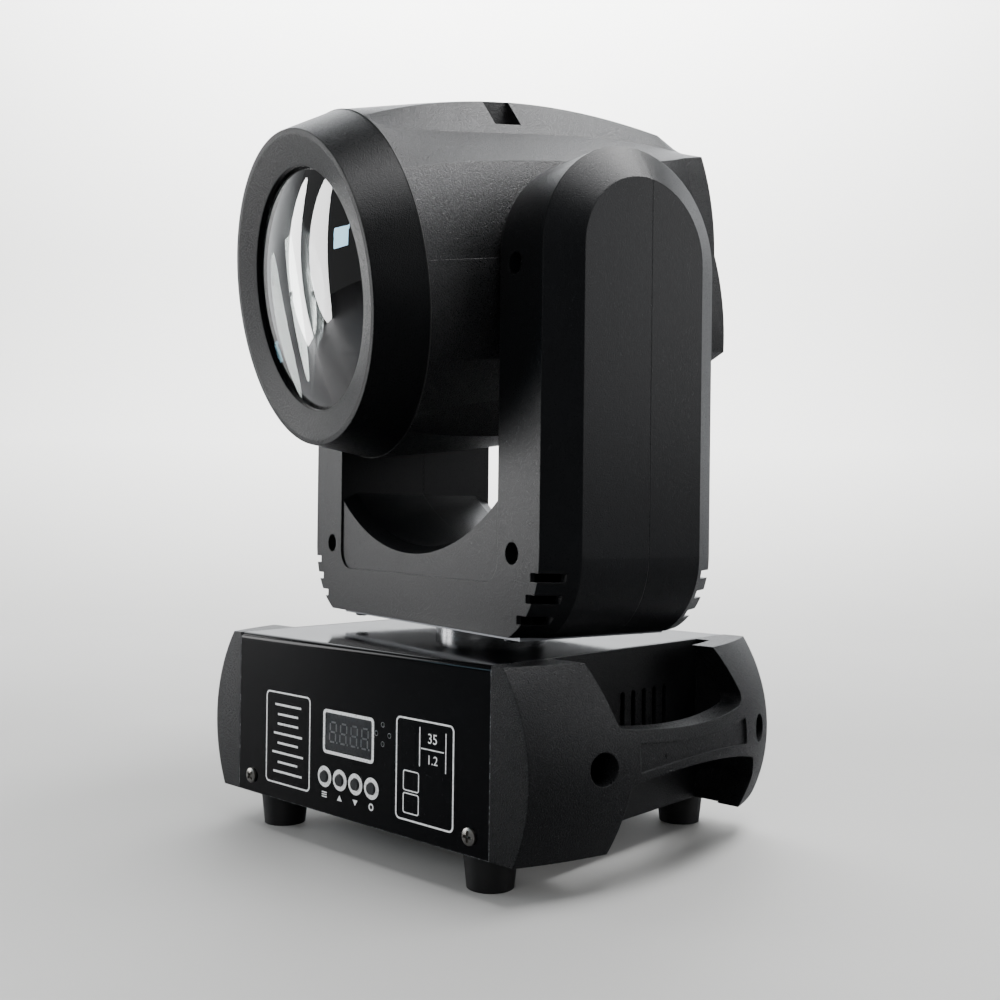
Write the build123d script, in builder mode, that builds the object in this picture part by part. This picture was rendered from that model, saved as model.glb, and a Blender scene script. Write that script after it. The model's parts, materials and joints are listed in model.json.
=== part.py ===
from build123d import *

import os
from math import atan2, copysign, cos, degrees, radians, sin, sqrt

# A moving head light: a boxed base with two handle caps, a yoke that pans on it and a head that
# tilts between the yoke's arms. Millimetres, +Z up, control panel towards -Y. The origin is the
# centre of the bracket hole pattern on the base's underside.
# The yoke is drawn about the pan axis and the head about the point where the tilt axis crosses
# the optical axis, both square to the base. They are carried to the resting pose when written.

# ---- Driving dimensions: shared fits ------------------------------------------------------------
run_fit = 0.05  # radial clearance of a shaft in its bearing
slide_fit = 0.3  # clearance round pieces that move past each other
part_gap = 0.2  # clearance of a piece dropped into its seat
belt_gap = 0.3  # a belt's loop stands this far off its pulleys
belt_thick = 1.5
belt_width = 6.0
pulley_width = 8.0
pulley_r = 7.0
pulley_lip = 2.5
pulley_flange = 0.7
motor_face = 42.3
motor_corner = 4.0
motor_length = 38.0
motor_shaft_r = 2.5
motor_spigot_r = 11.0
motor_spigot = 2.0
screw_shank_r = 1.5
screw_head_r = 4.2
screw_head = 2.0

# ---- Driving dimensions: base -------------------------------------------------------------------
base_width = 200.0  # sheet cover, between the end caps
base_depth = 208.6
base_height = 91.5
cover_sheet = 1.2
tray_sheet = 1.5
tray_tab = 22.0
cover_bend = 3.0
window_width = 38.0
window_height = 20.4
window_x = -2.2
window_z = 44.4
window_corner = 1.5
button_r = 2.9
button_pitch = 12.7
button_z = 19.7
button_proud = 1.2
button_travel = 0.8
mic_x = 25.2
mic_z = 48.9
mic_ring = 5.0
mic_hole_r = 1.1
panel_screw_x = 87.4
panel_screw_z = 9.4
board_setback = 9.0  # control board behind the panel's inner face
board_thick = 1.6
board_width = 120.0
board_height = 60.0
board_z = 42.0
spacer_x = 54.0
spacer_z = 25.0
spacer_r = 2.5
window_flange = 2.0
window_flange_thick = 1.0
display_width = 34.0
display_height = 16.0
switch_side = 6.0
switch_height = 3.5
button_flange_r = 3.8
button_flange = 1.2
button_stem_r = 1.5
button_float = 0.05
mic_r = 6.5
mic_setback = 1.0
psu_box = (62.0, 74.0, 36.0)
psu_wall_gap = 8.0
psu_y = 29.0
psu_slot_count = 7
driver_box = (50.0, 110.0)
driver_wall_gap = 9.0
driver_y = 0.0
driver_z = 10.0
dmx_flange_width = 26.0
dmx_flange_height = 31.0
dmx_depth = 24.0
dmx_recess_r = 9.2
dmx_recess = 13.0
dmx_pin_ring = 4.6
dmx_pin_r = 1.25
inlet_flange = 2.0
inlet_rim = 1.8
inlet_depth = 24.0
inlet_recess_width = 24.4
inlet_recess_height = 17.0
inlet_recess = 16.0
inlet_socket_drop = 11.0
fuse_drawer_width = 22.0
fuse_drawer_height = 12.0
panel_screw_length = 8.0
pin_share = 0.6  # how much of a socket's depth its pins fill
# Parts on the driver board: x, y, width, depth, height.
driver_parts = [(-12.0, -30.0, 16.0, 16.0, 14.0), (-12.0, 0.0, 12.0, 40.0, 18.0),
                (14.0, -25.0, 14.0, 34.0, 12.0), (12.0, 22.0, 18.0, 18.0, 16.0)]
side_slot_width = 4.0
side_slot_height = 40.0
side_slot_pitch = 9.9
side_slot_count = 5
side_slot_y = 16.4
side_slot_z = 48.5
bracket_x = 106.0
bracket_y = 60.0
bracket_hole_r = 3.25
foot_x = 82.5
foot_y = 84.0
foot_height = 20.0
foot_top_r = 14.0
foot_bottom_r = 11.8
foot_bore_r = 5.0
foot_floor = 6.0

# End caps: the side bulges both from top to bottom and from front to rear. The handle bar runs
# between an upper and a lower opening; its places are (y, z) on the cap's side.
cap_reach_top = 8.8
cap_reach_middle = 24.0
cap_reach_bottom = 15.6
cap_middle_z = 40.0
cap_plan_radius = 265.0
cap_axis_y = 6.5  # the bulge is fullest here
cap_wall = 2.6
grip_front = -63.3  # upper opening at the top edge
grip_rear = 40.6
grip_top_front = (-55.4, 61.0)  # top of the bar
grip_top_middle = (1.0, 57.0)
grip_top_rear = (57.5, 61.0)
grip_low_front = (-49.5, 33.2)  # underside of the bar
grip_low_middle = (5.0, 37.1)
grip_low_rear = (69.5, 28.5)
grip_heel = (74.5, 17.0)  # rearmost point of the lower opening
grip_foot_front = -56.0  # lower opening at the bottom edge
grip_foot_rear = 66.0
grip_corner = 5.0
grip_thick = 13.0
grip_pocket_rear = 69.0
cap_bolt_front = -66.0
cap_bolt_rear = 81.0
cap_bolt_z = 43.0
cap_bore_r = 8.0
cap_screw_seat = 6.0  # how far the screw's seat stands off the tray
bar_inset = 1.4  # the panel let into the bar's face
bar_inset_front = -44.0
bar_inset_rear = 56.0
bar_inset_high = 52.8
bar_inset_sag = 2.7
bar_inset_low = 38.3
bar_inset_rise = 3.3

# ---- Driving dimensions: pan drive --------------------------------------------------------------
pan_y = 4.0
pan_shaft_r = 20.0
pan_shaft_bore = 14.0
pan_bearing_r = 33.0
pan_bearing_height = 5.0
pan_bearing_drop = 14.0
bearing_seat = 6.0  # wall of the bearing's sleeve
pan_wheel_r = 38.0
pan_wheel_drop = 28.5  # these three are measured down from the base's top
pan_motor_x = -56.0
pan_motor_y = -36.0
pan_motor_drop = 33.5
bracket_plate = 2.0
bracket_leg_x = 30.0  # half the spacing of the motor bracket's legs
bracket_half_depth = 24.0
shaft_flange_r = 30.0
shaft_flange = 1.7
shaft_drop = 31.5
wheel_web = 3.0

# ---- Driving dimensions: yoke -------------------------------------------------------------------
yoke_clearance = 9.5  # above the base
yoke_half_width = 135.5
yoke_half_depth = 56.4
yoke_wall = 2.8
arm_inner = 89.0
arm_rise = 248.0  # every rise is measured from the yoke's bottom
arm_chamfer_x = 10.6
arm_chamfer_y = 17.6
yoke_corner_r = 45.0
yoke_corner_rise = 40.4
trough_rise = 42.8
trough_side_rise = 74.2
trough_lip = 5.0
trough_lip_depth = 11.0
seam_y = 4.0
front_panel_rise = 26.6
front_panel_corner = 12.0
front_panel_inset = 1.2
yoke_screw_x = 101.8
screw_low_rise = 42.0
screw_high_rise = 186.0
yoke_bore_r = 5.6
yoke_bore_depth = 7.0
corner_slot_height = 4.2
corner_slot_pitch = 10.7
corner_slot_rise = 31.0
corner_slot_count = 3
corner_slot_reach = 15.0
corner_slot_start = 6.0  # the slots begin this far inside the front face's edge
corner_slot_depth = 12.0
boss_wall = 1.2
frame_sheet = 2.5
frame_half_depth = 38.0
frame_gap = 0.5
frame_foot = 3.2
frame_plate_half_depth = 48.0
frame_tab = 13.8
frame_tab_y = 21.5
frame_tab_height = 14.0
upright_waist_rise = 129.0
upright_head_r = 27.0
upright_window_rise = 109.0
upright_window = 60.0
plate_screw_x = 84.0
plate_screw_y = 43.0

# ---- Driving dimensions: tilt drive -------------------------------------------------------------
tilt_rise = 202.1
hub_r = 14.0
hub_bore = 9.0
hub_flange_r = 24.0
hub_flange = 3.0
tilt_bearing_r = 21.0
tilt_bearing_width = 7.0
tilt_wheel_r = 36.0
tilt_wheel_inset = 17.5  # outer end of the tilt wheel and pulley, inside the arm's face
tilt_motor_rise = 23.0

# ---- Driving dimensions: head -------------------------------------------------------------------
shell_wall = 2.5
shell_front = -98.3
shell_rear = 108.0
rear_end = 125.0
bezel_front = -129.0
bezel_r = 83.0
seam_half_width = 84.5
seam_half_height = 94.0
lens_r = 67.0
lens_opening_r = 64.5
lens_edge = 5.0
lens_bulge = 12.0
lens_bore_r = 69.0
lens_lip = -124.5  # inner edge of the bezel's face
lens_seat = -122.0  # rear of that lip, where the front lens seats
bezel_mouth_r = 80.0
pocket_inner_r = 71.5
pocket_outer_r = 79.5
ring_lip = 3.0
ring_thick = 4.0
baffle_rear = -93.0
baffle_rear_r = 50.0
baffle_wall = 1.5
side_bulge = 3.0
notch_x = 36.0
notch_front = -21.5
notch_rear = -4.0
notch_bottom = 75.0
rear_plate = 3.0
rear_slot_pitch = 7.0
rear_slot_count = 11
rear_slot_length = 84.0
rear_slot_height = 3.6
rear_screw_x = 51.0
rear_screw_z = 44.0
cover_post_x = 30.0
cover_post_places = (-60.0, 40.0)
cover_post_r = 4.0
head_sheet = 2.0
head_floor = -46.0
side_plate_x = 62.0
side_plate_depth = 25.0
side_plate_top = 28.0
floor_front = -92.0
floor_step = 50.0
floor_rear = 104.0
floor_tail_x = 50.0
wheel_plate = 26.0
wheel_plate_top = 40.0
beam_hole_r = 11.0
wheel_x = 26.0
filter_wheel_r = 34.0
filter_count = 8
gobo_front = 29.0
gobo_r = 6.5
colour_front = 35.0
colour_r = 7.5
small_motor = 28.0
small_motor_length = 20.0
small_spigot_r = 6.0
engine_rear = 54.0
engine_side = 60.0
emitter_side = 20.0
holder_front = 39.0
holder_r = 24.0
condenser_r = 21.0
condenser_rear = 47.0
condenser_edge = 3.0
condenser_front = 39.5
sink_width = 90.0
sink_height = 84.0
sink_base = 6.0
fin_count = 11
fin_thick = 2.0
fin_length = 28.0
fan_side = 80.0
fan_corner = 4.0
fan_depth = 15.0
fan_bore_r = 38.0
fan_hub_r = 14.0
fan_strut = 2.0
fan_blade_r = 36.5
fan_blades = 7
fan_blade_width = 1.6
prism_pivot_x = 40.0
prism_pivot_z = -30.0
prism_swing = 45.0
prism_motor_r = 14.0
prism_motor_front = -5.0
prism_front = -10.0
prism_r = 14.0
prism_ring = 3.0
prism_thick = 4.0
prism_facets = 3
prism_taper = 8.0
prism_arm_width = 7.0
rail_x = 34.0
rail_z = -34.0
rail_r = 2.0
rail_front = -91.0
rail_rear = -15.0
rail_tab_x = 42.0
rail_tab_top = -29.0
carriage_front = -60.0
carriage_length = 16.0
carriage_height = 8.0
focus_r = 27.0
focus_ring = 3.0
focus_edge = 4.0
focus_bulge = 4.0
hub_hole_r = 17.0

# ---- Resting pose -------------------------------------------------------------------------------
pan_at_rest = -13.6
tilt_at_rest = 10.0


# ==== Base =======================================================================================
panel_y = base_depth / 2
panel_plane = Plane.XZ.offset(panel_y)
rear_plane = Plane.XZ.offset(-panel_y)
inner_front = panel_y - cover_sheet
button_places = [(window_x + (i - 1.5) * button_pitch, button_z) for i in range(4)]
panel_screws = [(-panel_screw_x, panel_screw_z), (panel_screw_x, panel_screw_z)]
psu_place = (-base_width / 2 + psu_wall_gap + psu_box[0] / 2, psu_y)
driver_place = (base_width / 2 - driver_wall_gap - driver_box[0] / 2, driver_y)
dmx_places = [(18.0, 52.0), (52.0, 52.0)]
inlet_place = (-48.0, 50.0)
dmx_r = 11.8
inlet_width = 27.5
inlet_height = 47.0

with BuildPart() as base_cover:
    with BuildSketch(Plane.YZ) as cover_outside:
        Rectangle(base_depth, base_height, align=(Align.CENTER, Align.MIN))
        fillet(cover_outside.vertices().group_by(Axis.Y)[-1], cover_bend)
    extrude(amount=base_width / 2, both=True)
    with BuildSketch(Plane.YZ) as cover_inside:
        Rectangle(2 * inner_front, base_height - cover_sheet, align=(Align.CENTER, Align.MIN))
        fillet(cover_inside.vertices().group_by(Axis.Y)[-1], cover_bend - cover_sheet)
    extrude(amount=base_width / 2, both=True, mode=Mode.SUBTRACT)
    with BuildSketch(panel_plane):
        with Locations((window_x, window_z)):
            RectangleRounded(window_width, window_height, window_corner)
        with Locations(*button_places):
            Circle(button_r + part_gap)
        with Locations((mic_x, mic_z)):
            with PolarLocations(mic_ring, 4):
                Circle(mic_hole_r)
        with Locations(*panel_screws):
            Circle(screw_shank_r + part_gap)
    extrude(amount=-2 * cover_sheet, mode=Mode.SUBTRACT)
    with BuildSketch(rear_plane):
        with Locations(*dmx_places):
            Circle(dmx_r + part_gap)
        with Locations(inlet_place):
            Rectangle(inlet_width + 2 * part_gap, inlet_height + 2 * part_gap)
        with Locations(*panel_screws):
            Circle(screw_shank_r + part_gap)
    extrude(amount=2 * cover_sheet, mode=Mode.SUBTRACT)
    with BuildSketch(Plane.XY.offset(base_height)):
        with Locations((0, pan_y)):
            Circle(pan_shaft_r + bearing_seat)
    extrude(amount=-2 * cover_sheet, mode=Mode.SUBTRACT)
base_cover.part.label = "base_cover"

# The tray's floor and side walls close the cover from below and at its ends.
tray_height = base_height - cover_bend
tray_depth = 2 * (inner_front - part_gap)
foot_places = [(x, y) for x in (-foot_x, foot_x) for y in (-foot_y, foot_y)]
side_slots = [(side_slot_y + (i - (side_slot_count - 1) / 2) * side_slot_pitch, side_slot_z)
              for i in range(side_slot_count)]

with BuildPart() as base_tray:
    with BuildSketch(Plane.XZ):
        Rectangle(base_width, tray_height, align=(Align.CENTER, Align.MIN))
        with Locations((0, tray_sheet)):
            Rectangle(base_width - 2 * tray_sheet, tray_height, align=(Align.CENTER, Align.MIN),
                      mode=Mode.SUBTRACT)
    extrude(amount=tray_depth / 2, both=True)
    for end in (-1, 1):
        with BuildSketch(Plane.XZ.offset(end * tray_depth / 2)):
            with Locations(*panel_screws):
                Rectangle(tray_tab, 2 * panel_screw_z)
        extrude(amount=-end * tray_sheet)
        with BuildSketch(Plane.XZ.offset(end * tray_depth / 2)):
            with Locations(*panel_screws):
                Circle(screw_shank_r + part_gap)
        extrude(amount=-end * tray_sheet, mode=Mode.SUBTRACT)
    with BuildSketch(Plane.YZ):
        with Locations(*side_slots):
            SlotOverall(side_slot_height, side_slot_width, rotation=90)
    extrude(amount=base_width, both=True, mode=Mode.SUBTRACT)
    with BuildSketch(Plane.XY):
        with GridLocations(bracket_x, bracket_y, 2, 2):
            Circle(bracket_hole_r)
        with Locations(*foot_places):
            Circle(screw_shank_r + part_gap)
    extrude(amount=tray_sheet, mode=Mode.SUBTRACT)
    with BuildSketch(Plane.YZ):
        with Locations((cap_bolt_front, cap_bolt_z), (cap_bolt_rear, cap_bolt_z)):
            Circle(screw_shank_r + part_gap)
    extrude(amount=base_width, both=True, mode=Mode.SUBTRACT)
base_tray.part.label = "base_tray"

# An end cap's side is an arc from top to bottom, turned about a distant upright axis.
half_width = base_width / 2
cap_sag = cap_plan_radius - sqrt(cap_plan_radius**2 - (panel_y + cap_axis_y)**2)
cap_axis_x = half_width + cap_reach_middle + cap_sag - cap_plan_radius
cap_axis = Axis((cap_axis_x, cap_axis_y, 0), (0, 0, 1))
cap_bolts = [(cap_bolt_front, cap_bolt_z), (cap_bolt_rear, cap_bolt_z)]


def cap_bulge(inset=0.0):
    """The round of the cap's side, drawn inwards by inset."""
    shift = half_width + cap_sag - inset
    top = (shift + cap_reach_top, base_height)
    middle = (shift + cap_reach_middle, cap_middle_z)
    bottom = (shift + cap_reach_bottom, 0)
    with BuildPart() as bulge:
        with BuildSketch(Plane.XZ.offset(-cap_axis_y)):
            with BuildLine():
                ThreePointArc(top, middle, bottom)
                Polyline(bottom, (cap_axis_x, 0), (cap_axis_x, base_height), top)
            make_face()
        revolve(axis=cap_axis)
    return bulge.part


cap_wall_plane = Plane.YZ.offset(half_width + cap_wall)

with BuildPart() as grip_opening:
    with BuildSketch(cap_wall_plane) as upper_opening:
        with BuildLine():
            Polyline(grip_top_rear, (grip_rear, base_height), (grip_rear, base_height + 1),
                     (grip_front, base_height + 1), (grip_front, base_height), grip_top_front)
            ThreePointArc(grip_top_front, grip_top_middle, grip_top_rear)
        make_face()
        fillet(upper_opening.vertices().sort_by(Axis.Y)[:2], grip_corner)
    extrude(amount=half_width)
    with BuildSketch(cap_wall_plane) as lower_opening:
        with BuildLine():
            Polyline(grip_low_rear, grip_heel, (grip_foot_rear, 0), (grip_foot_rear, -1),
                     (grip_foot_front, -1), (grip_foot_front, 0), grip_low_front)
            ThreePointArc(grip_low_front, grip_low_middle, grip_low_rear)
        make_face()
        fillet(lower_opening.vertices().sort_by(Axis.Y)[-3:], grip_corner)
    extrude(amount=half_width)

# The bar stands clear of the base's wall, so fingers go right round it.
pocket_front = cap_bolt_front + cap_bore_r + cap_wall

with BuildPart() as grip_pocket:
    with BuildSketch(Plane.XY):
        with Locations((half_width + cap_wall, pocket_front)):
            Rectangle(half_width, grip_pocket_rear - pocket_front, align=(Align.MIN, Align.MIN))
    extrude(amount=base_height)
    add(cap_bulge(grip_thick), mode=Mode.INTERSECT)

with BuildPart() as cap_core:
    for low, high in ((-panel_y + cap_wall, grip_front - cap_wall),
                      (grip_heel[0] + cap_wall, panel_y - cap_wall)):
        with BuildSketch(Plane.XY.offset(cap_wall)):
            with Locations((half_width, (low + high) / 2)):
                Rectangle(half_width, high - low, align=(Align.MIN, Align.CENTER))
        extrude(amount=base_height - 2 * cap_wall)
    add(cap_bulge(cap_wall), mode=Mode.INTERSECT)
    with BuildSketch(Plane.YZ.offset(half_width)):
        with Locations(*cap_bolts):
            Circle(cap_bore_r + cap_wall)
    extrude(amount=half_width, mode=Mode.SUBTRACT)

with BuildPart() as bar_recess:
    middle_y = (bar_inset_front + bar_inset_rear) / 2
    with BuildSketch(Plane.YZ.offset(half_width)) as recess_outline:
        with BuildLine():
            ThreePointArc((bar_inset_front, bar_inset_high), (middle_y, bar_inset_high - bar_inset_sag),
                          (bar_inset_rear, bar_inset_high))
            Line((bar_inset_rear, bar_inset_high), (bar_inset_rear, bar_inset_low))
            ThreePointArc((bar_inset_rear, bar_inset_low), (middle_y, bar_inset_low + bar_inset_rise),
                          (bar_inset_front, bar_inset_low))
            Line((bar_inset_front, bar_inset_low), (bar_inset_front, bar_inset_high))
        make_face()
        fillet(recess_outline.vertices(), bar_inset)
    extrude(amount=half_width)
    add(cap_bulge(bar_inset), mode=Mode.SUBTRACT)

with BuildPart() as right_end_cap:
    with BuildSketch(Plane.XY):
        with Locations((half_width, 0)):
            Rectangle(half_width, base_depth, align=(Align.MIN, Align.CENTER))
    extrude(amount=base_height)
    add(cap_bulge(), mode=Mode.INTERSECT)
    add(cap_core.part, mode=Mode.SUBTRACT)
    add(grip_opening.part, mode=Mode.SUBTRACT)
    add(grip_pocket.part, mode=Mode.SUBTRACT)
    add(bar_recess.part, mode=Mode.SUBTRACT)
    with BuildSketch(Plane.YZ.offset(half_width)):
        with Locations(*side_slots):
            SlotOverall(side_slot_height, side_slot_width, rotation=90)
    extrude(amount=cap_wall, mode=Mode.SUBTRACT)
    with BuildSketch(Plane.YZ.offset(half_width + cap_screw_seat)):
        with Locations(*cap_bolts):
            Circle(cap_bore_r)
    extrude(amount=half_width, mode=Mode.SUBTRACT)
    with BuildSketch(Plane.YZ.offset(half_width)):
        with Locations(*cap_bolts):
            Circle(screw_shank_r + part_gap)
    extrude(amount=cap_screw_seat, mode=Mode.SUBTRACT)
right_end_cap.part.label = "right_end_cap"

with BuildPart() as left_end_cap:
    add(right_end_cap.part.mirror(Plane.YZ))
left_end_cap.part.label = "left_end_cap"


with BuildPart() as rubber_feet:
    with Locations(*[(x, y, -foot_height / 2) for x, y in foot_places]):
        Cone(foot_bottom_r, foot_top_r, foot_height)
    with BuildSketch(Plane.XY.offset(-foot_height)):
        with Locations(*foot_places):
            Circle(foot_bore_r)
    extrude(amount=foot_height - foot_floor, mode=Mode.SUBTRACT)
    with BuildSketch(Plane.XY.offset(-foot_floor)):
        with Locations(*foot_places):
            Circle(screw_shank_r + part_gap)
    extrude(amount=foot_floor, mode=Mode.SUBTRACT)
rubber_feet.part.label = "rubber_feet"

# Control panel: everything stands between the panel's inner face and the board behind it.
behind_panel = Plane.XZ.offset(inner_front)
board_front = Plane.XZ.offset(inner_front - board_setback)

with BuildPart() as display_window:
    with BuildSketch(panel_plane):
        with Locations((window_x, window_z)):
            RectangleRounded(window_width - 2 * part_gap, window_height - 2 * part_gap,
                             window_corner)
    extrude(amount=-cover_sheet)
    with BuildSketch(behind_panel):
        with Locations((window_x, window_z)):
            Rectangle(window_width + 2 * window_flange, window_height + 2 * window_flange)
    extrude(amount=-window_flange_thick)
display_window.part.label = "display_window"

with BuildPart() as display_module:
    with BuildSketch(board_front):
        with Locations((window_x, window_z)):
            Rectangle(display_width, display_height)
    extrude(amount=board_setback - window_flange_thick - part_gap)
display_module.part.label = "display_module"

with BuildPart() as control_board:
    with BuildSketch(board_front):
        with Locations((0, board_z)):
            Rectangle(board_width, board_height)
    extrude(amount=-board_thick)
    with BuildSketch(board_front):
        with Locations(*button_places):
            Rectangle(switch_side, switch_side)
    extrude(amount=switch_height)
    with BuildSketch(board_front):
        with Locations((mic_x, mic_z)):
            Circle(mic_r)
    extrude(amount=board_setback - mic_setback)
control_board.part.label = "control_board"

with BuildPart() as board_spacers:
    with BuildSketch(board_front):
        with Locations((0, board_z)):
            with GridLocations(2 * spacer_x, 2 * spacer_z, 2, 2):
                Circle(spacer_r)
    extrude(amount=board_setback)
    with BuildSketch(Plane.XY.offset(tray_sheet)):
        with Locations(driver_place):
            with GridLocations(driver_box[0] - 10, driver_box[1] - 10, 2, 2):
                Circle(spacer_r)
    extrude(amount=driver_z - tray_sheet)
board_spacers.part.label = "board_spacers"


def button_at(place):
    """A button with the flange that holds it behind the panel and the stem towards its switch."""
    stem = board_setback - switch_height - button_travel - part_gap
    with BuildPart() as button:
        with BuildSketch(behind_panel):
            with Locations(place):
                Circle(button_r)
        extrude(amount=cover_sheet + button_proud)
        with BuildSketch(behind_panel.offset(-button_float)):
            with Locations(place):
                Circle(button_flange_r)
        extrude(amount=-button_flange)
        with BuildSketch(behind_panel):
            with Locations(place):
                Circle(button_stem_r)
        extrude(amount=-stem)
    return button.part


buttons = [button_at(place) for place in button_places]

with BuildPart() as power_supply:
    with BuildSketch(Plane.XY.offset(tray_sheet)):
        with Locations(psu_place):
            Rectangle(psu_box[0], psu_box[1])
    extrude(amount=psu_box[2])
    with BuildSketch(Plane.XY.offset(tray_sheet + psu_box[2])):
        with Locations(psu_place):
            with GridLocations(0, psu_box[1] / (psu_slot_count + 1), 1, psu_slot_count):
                SlotOverall(psu_box[0] * 0.7, cap_wall)
    extrude(amount=-tray_sheet, mode=Mode.SUBTRACT)
power_supply.part.label = "power_supply"

with BuildPart() as driver_board:
    with BuildSketch(Plane.XY.offset(driver_z)):
        with Locations(driver_place):
            Rectangle(*driver_box)
    extrude(amount=board_thick)
    for x, y, width, depth, height in driver_parts:
        with BuildSketch(Plane.XY.offset(driver_z + board_thick)):
            with Locations((driver_place[0] + x, driver_place[1] + y)):
                Rectangle(width, depth)
        extrude(amount=height)
driver_board.part.label = "driver_board"

# Rear sockets.
inlet_x, inlet_z = inlet_place
inlet_face = Plane.XZ.offset(-panel_y - inlet_flange)

with BuildPart() as power_inlet:
    with BuildSketch(rear_plane):
        with Locations(inlet_place):
            RectangleRounded(inlet_width + 2 * inlet_rim, inlet_height + 2 * inlet_rim, inlet_rim)
    extrude(amount=-inlet_flange)
    with BuildSketch(rear_plane):
        with Locations(inlet_place):
            Rectangle(inlet_width, inlet_height)
    extrude(amount=inlet_depth)
    with BuildSketch(inlet_face) as inlet_mouth:
        with Locations((inlet_x, inlet_z + inlet_socket_drop)):
            Rectangle(inlet_recess_width, inlet_recess_height)
        chamfer(inlet_mouth.vertices().group_by(Axis.Y)[-1], inlet_recess_height / 4)
    extrude(amount=inlet_recess, mode=Mode.SUBTRACT)
    with BuildSketch(inlet_face):
        with Locations((inlet_x, inlet_z - inlet_socket_drop)):
            Rectangle(fuse_drawer_width + 1, fuse_drawer_height + 1)
            Rectangle(fuse_drawer_width, fuse_drawer_height, mode=Mode.SUBTRACT)
    extrude(amount=inlet_flange / 2, mode=Mode.SUBTRACT)
    with BuildSketch(inlet_face.offset(inlet_recess)):
        with Locations((inlet_x - 7, inlet_z + inlet_socket_drop - 2),
                       (inlet_x, inlet_z + inlet_socket_drop + 2),
                       (inlet_x + 7, inlet_z + inlet_socket_drop - 2)):
            Rectangle(2, 4)
    extrude(amount=-inlet_recess * pin_share)
power_inlet.part.label = "power_inlet"


def dmx_socket(place, male):
    """A round three-pole socket: pins in a deep recess, or a flush face with three holes."""
    face = Plane.XZ.offset(-panel_y - inlet_flange)
    with BuildPart() as socket:
        with BuildSketch(rear_plane):
            with Locations(place):
                RectangleRounded(dmx_flange_width, dmx_flange_height, 2)
        extrude(amount=-inlet_flange)
        with BuildSketch(rear_plane):
            with Locations(place):
                Circle(dmx_r)
        extrude(amount=dmx_depth)
        with BuildSketch(face):
            with Locations(place):
                Circle(dmx_recess_r + (0 if male else 0.5))
                if not male:
                    Circle(dmx_recess_r - 0.7, mode=Mode.SUBTRACT)
        extrude(amount=dmx_recess, mode=Mode.SUBTRACT)
        with BuildSketch(face.offset(dmx_recess) if male else face):
            with Locations(place):
                with PolarLocations(dmx_pin_ring, 3, start_angle=-90):
                    Circle(dmx_pin_r)
        if male:
            extrude(amount=-dmx_recess * pin_share)
        else:
            extrude(amount=dmx_recess * pin_share, mode=Mode.SUBTRACT)
    return socket.part


dmx_input_socket = dmx_socket(dmx_places[0], True)
dmx_output_socket = dmx_socket(dmx_places[1], False)


# ==== Pan drive ==================================================================================
def stepper_motor(face, side, length, spigot_r=motor_spigot_r):
    """A square motor behind its mounting face, bored for the shaft that turns in it."""
    with BuildPart() as motor:
        with BuildSketch(face) as can:
            Rectangle(side, side)
            chamfer(can.vertices(), side * motor_corner / motor_face)
        extrude(amount=-length)
        with BuildSketch(face):
            Circle(spigot_r)
        extrude(amount=motor_spigot)
        with BuildSketch(face.offset(motor_spigot)):
            Circle(motor_shaft_r + run_fit)
        extrude(amount=-length, mode=Mode.SUBTRACT)
    return motor.part


def belt_pulley(face, shaft_length):
    """A small flanged pulley with its shaft; face is the plane of its outer end."""
    with BuildPart() as pulley:
        with BuildSketch(face):
            Circle(pulley_r)
        extrude(amount=-pulley_width)
        for depth in (0, pulley_width - pulley_flange):
            with BuildSketch(face.offset(-depth)):
                Circle(pulley_r + pulley_lip)
            extrude(amount=-pulley_flange)
        with BuildSketch(face):
            Circle(motor_shaft_r)
        extrude(amount=-shaft_length)
    return pulley.part


def belt_wheel(face, rim_r, bore_r):
    """The large wheel of a belt drive, lightened by a ring of holes."""
    web_r = (rim_r + bore_r) / 2
    with BuildPart() as wheel:
        with BuildSketch(face):
            Circle(rim_r)
            Circle(bore_r, mode=Mode.SUBTRACT)
            with PolarLocations(web_r, 6):
                Circle((rim_r - bore_r) / 2 - wheel_web, mode=Mode.SUBTRACT)
        extrude(amount=-pulley_width)
    return wheel.part


def belt_loop(face, wheel_r, wheel_place, pulley_place):
    """A belt round a wheel and a pulley."""
    with BuildPart() as belt:
        for stand_off, mode in ((belt_gap + belt_thick, Mode.ADD), (belt_gap, Mode.SUBTRACT)):
            with BuildSketch(face):
                with Locations(wheel_place):
                    Circle(wheel_r + stand_off)
                with Locations(pulley_place):
                    Circle(pulley_r + stand_off)
                make_hull()
            extrude(amount=-belt_width, mode=mode)
    return belt.part


pan_motor_face_z = base_height - pan_motor_drop
shaft_bottom = base_height - shaft_drop
pan_top = base_height - pan_wheel_drop + pulley_width
belt_inset = (pulley_width - belt_width) / 2

with BuildPart() as pan_bearing:
    with BuildSketch(Plane.XY.offset(base_height)):
        with Locations((0, pan_y)):
            Circle(pan_bearing_r)
    extrude(amount=pan_bearing_height)
    with BuildSketch(Plane.XY.offset(base_height)):
        with Locations((0, pan_y)):
            Circle(pan_shaft_r + bearing_seat - part_gap)
    extrude(amount=-pan_bearing_drop)
    with BuildSketch(Plane.XY.offset(base_height + pan_bearing_height)):
        with Locations((0, pan_y)):
            Circle(pan_shaft_r + run_fit)
    extrude(amount=-pan_bearing_height - pan_bearing_drop, mode=Mode.SUBTRACT)
pan_bearing.part.label = "pan_bearing"

pan_motor_plane = Plane((pan_motor_x, pan_motor_y, pan_motor_face_z))

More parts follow.
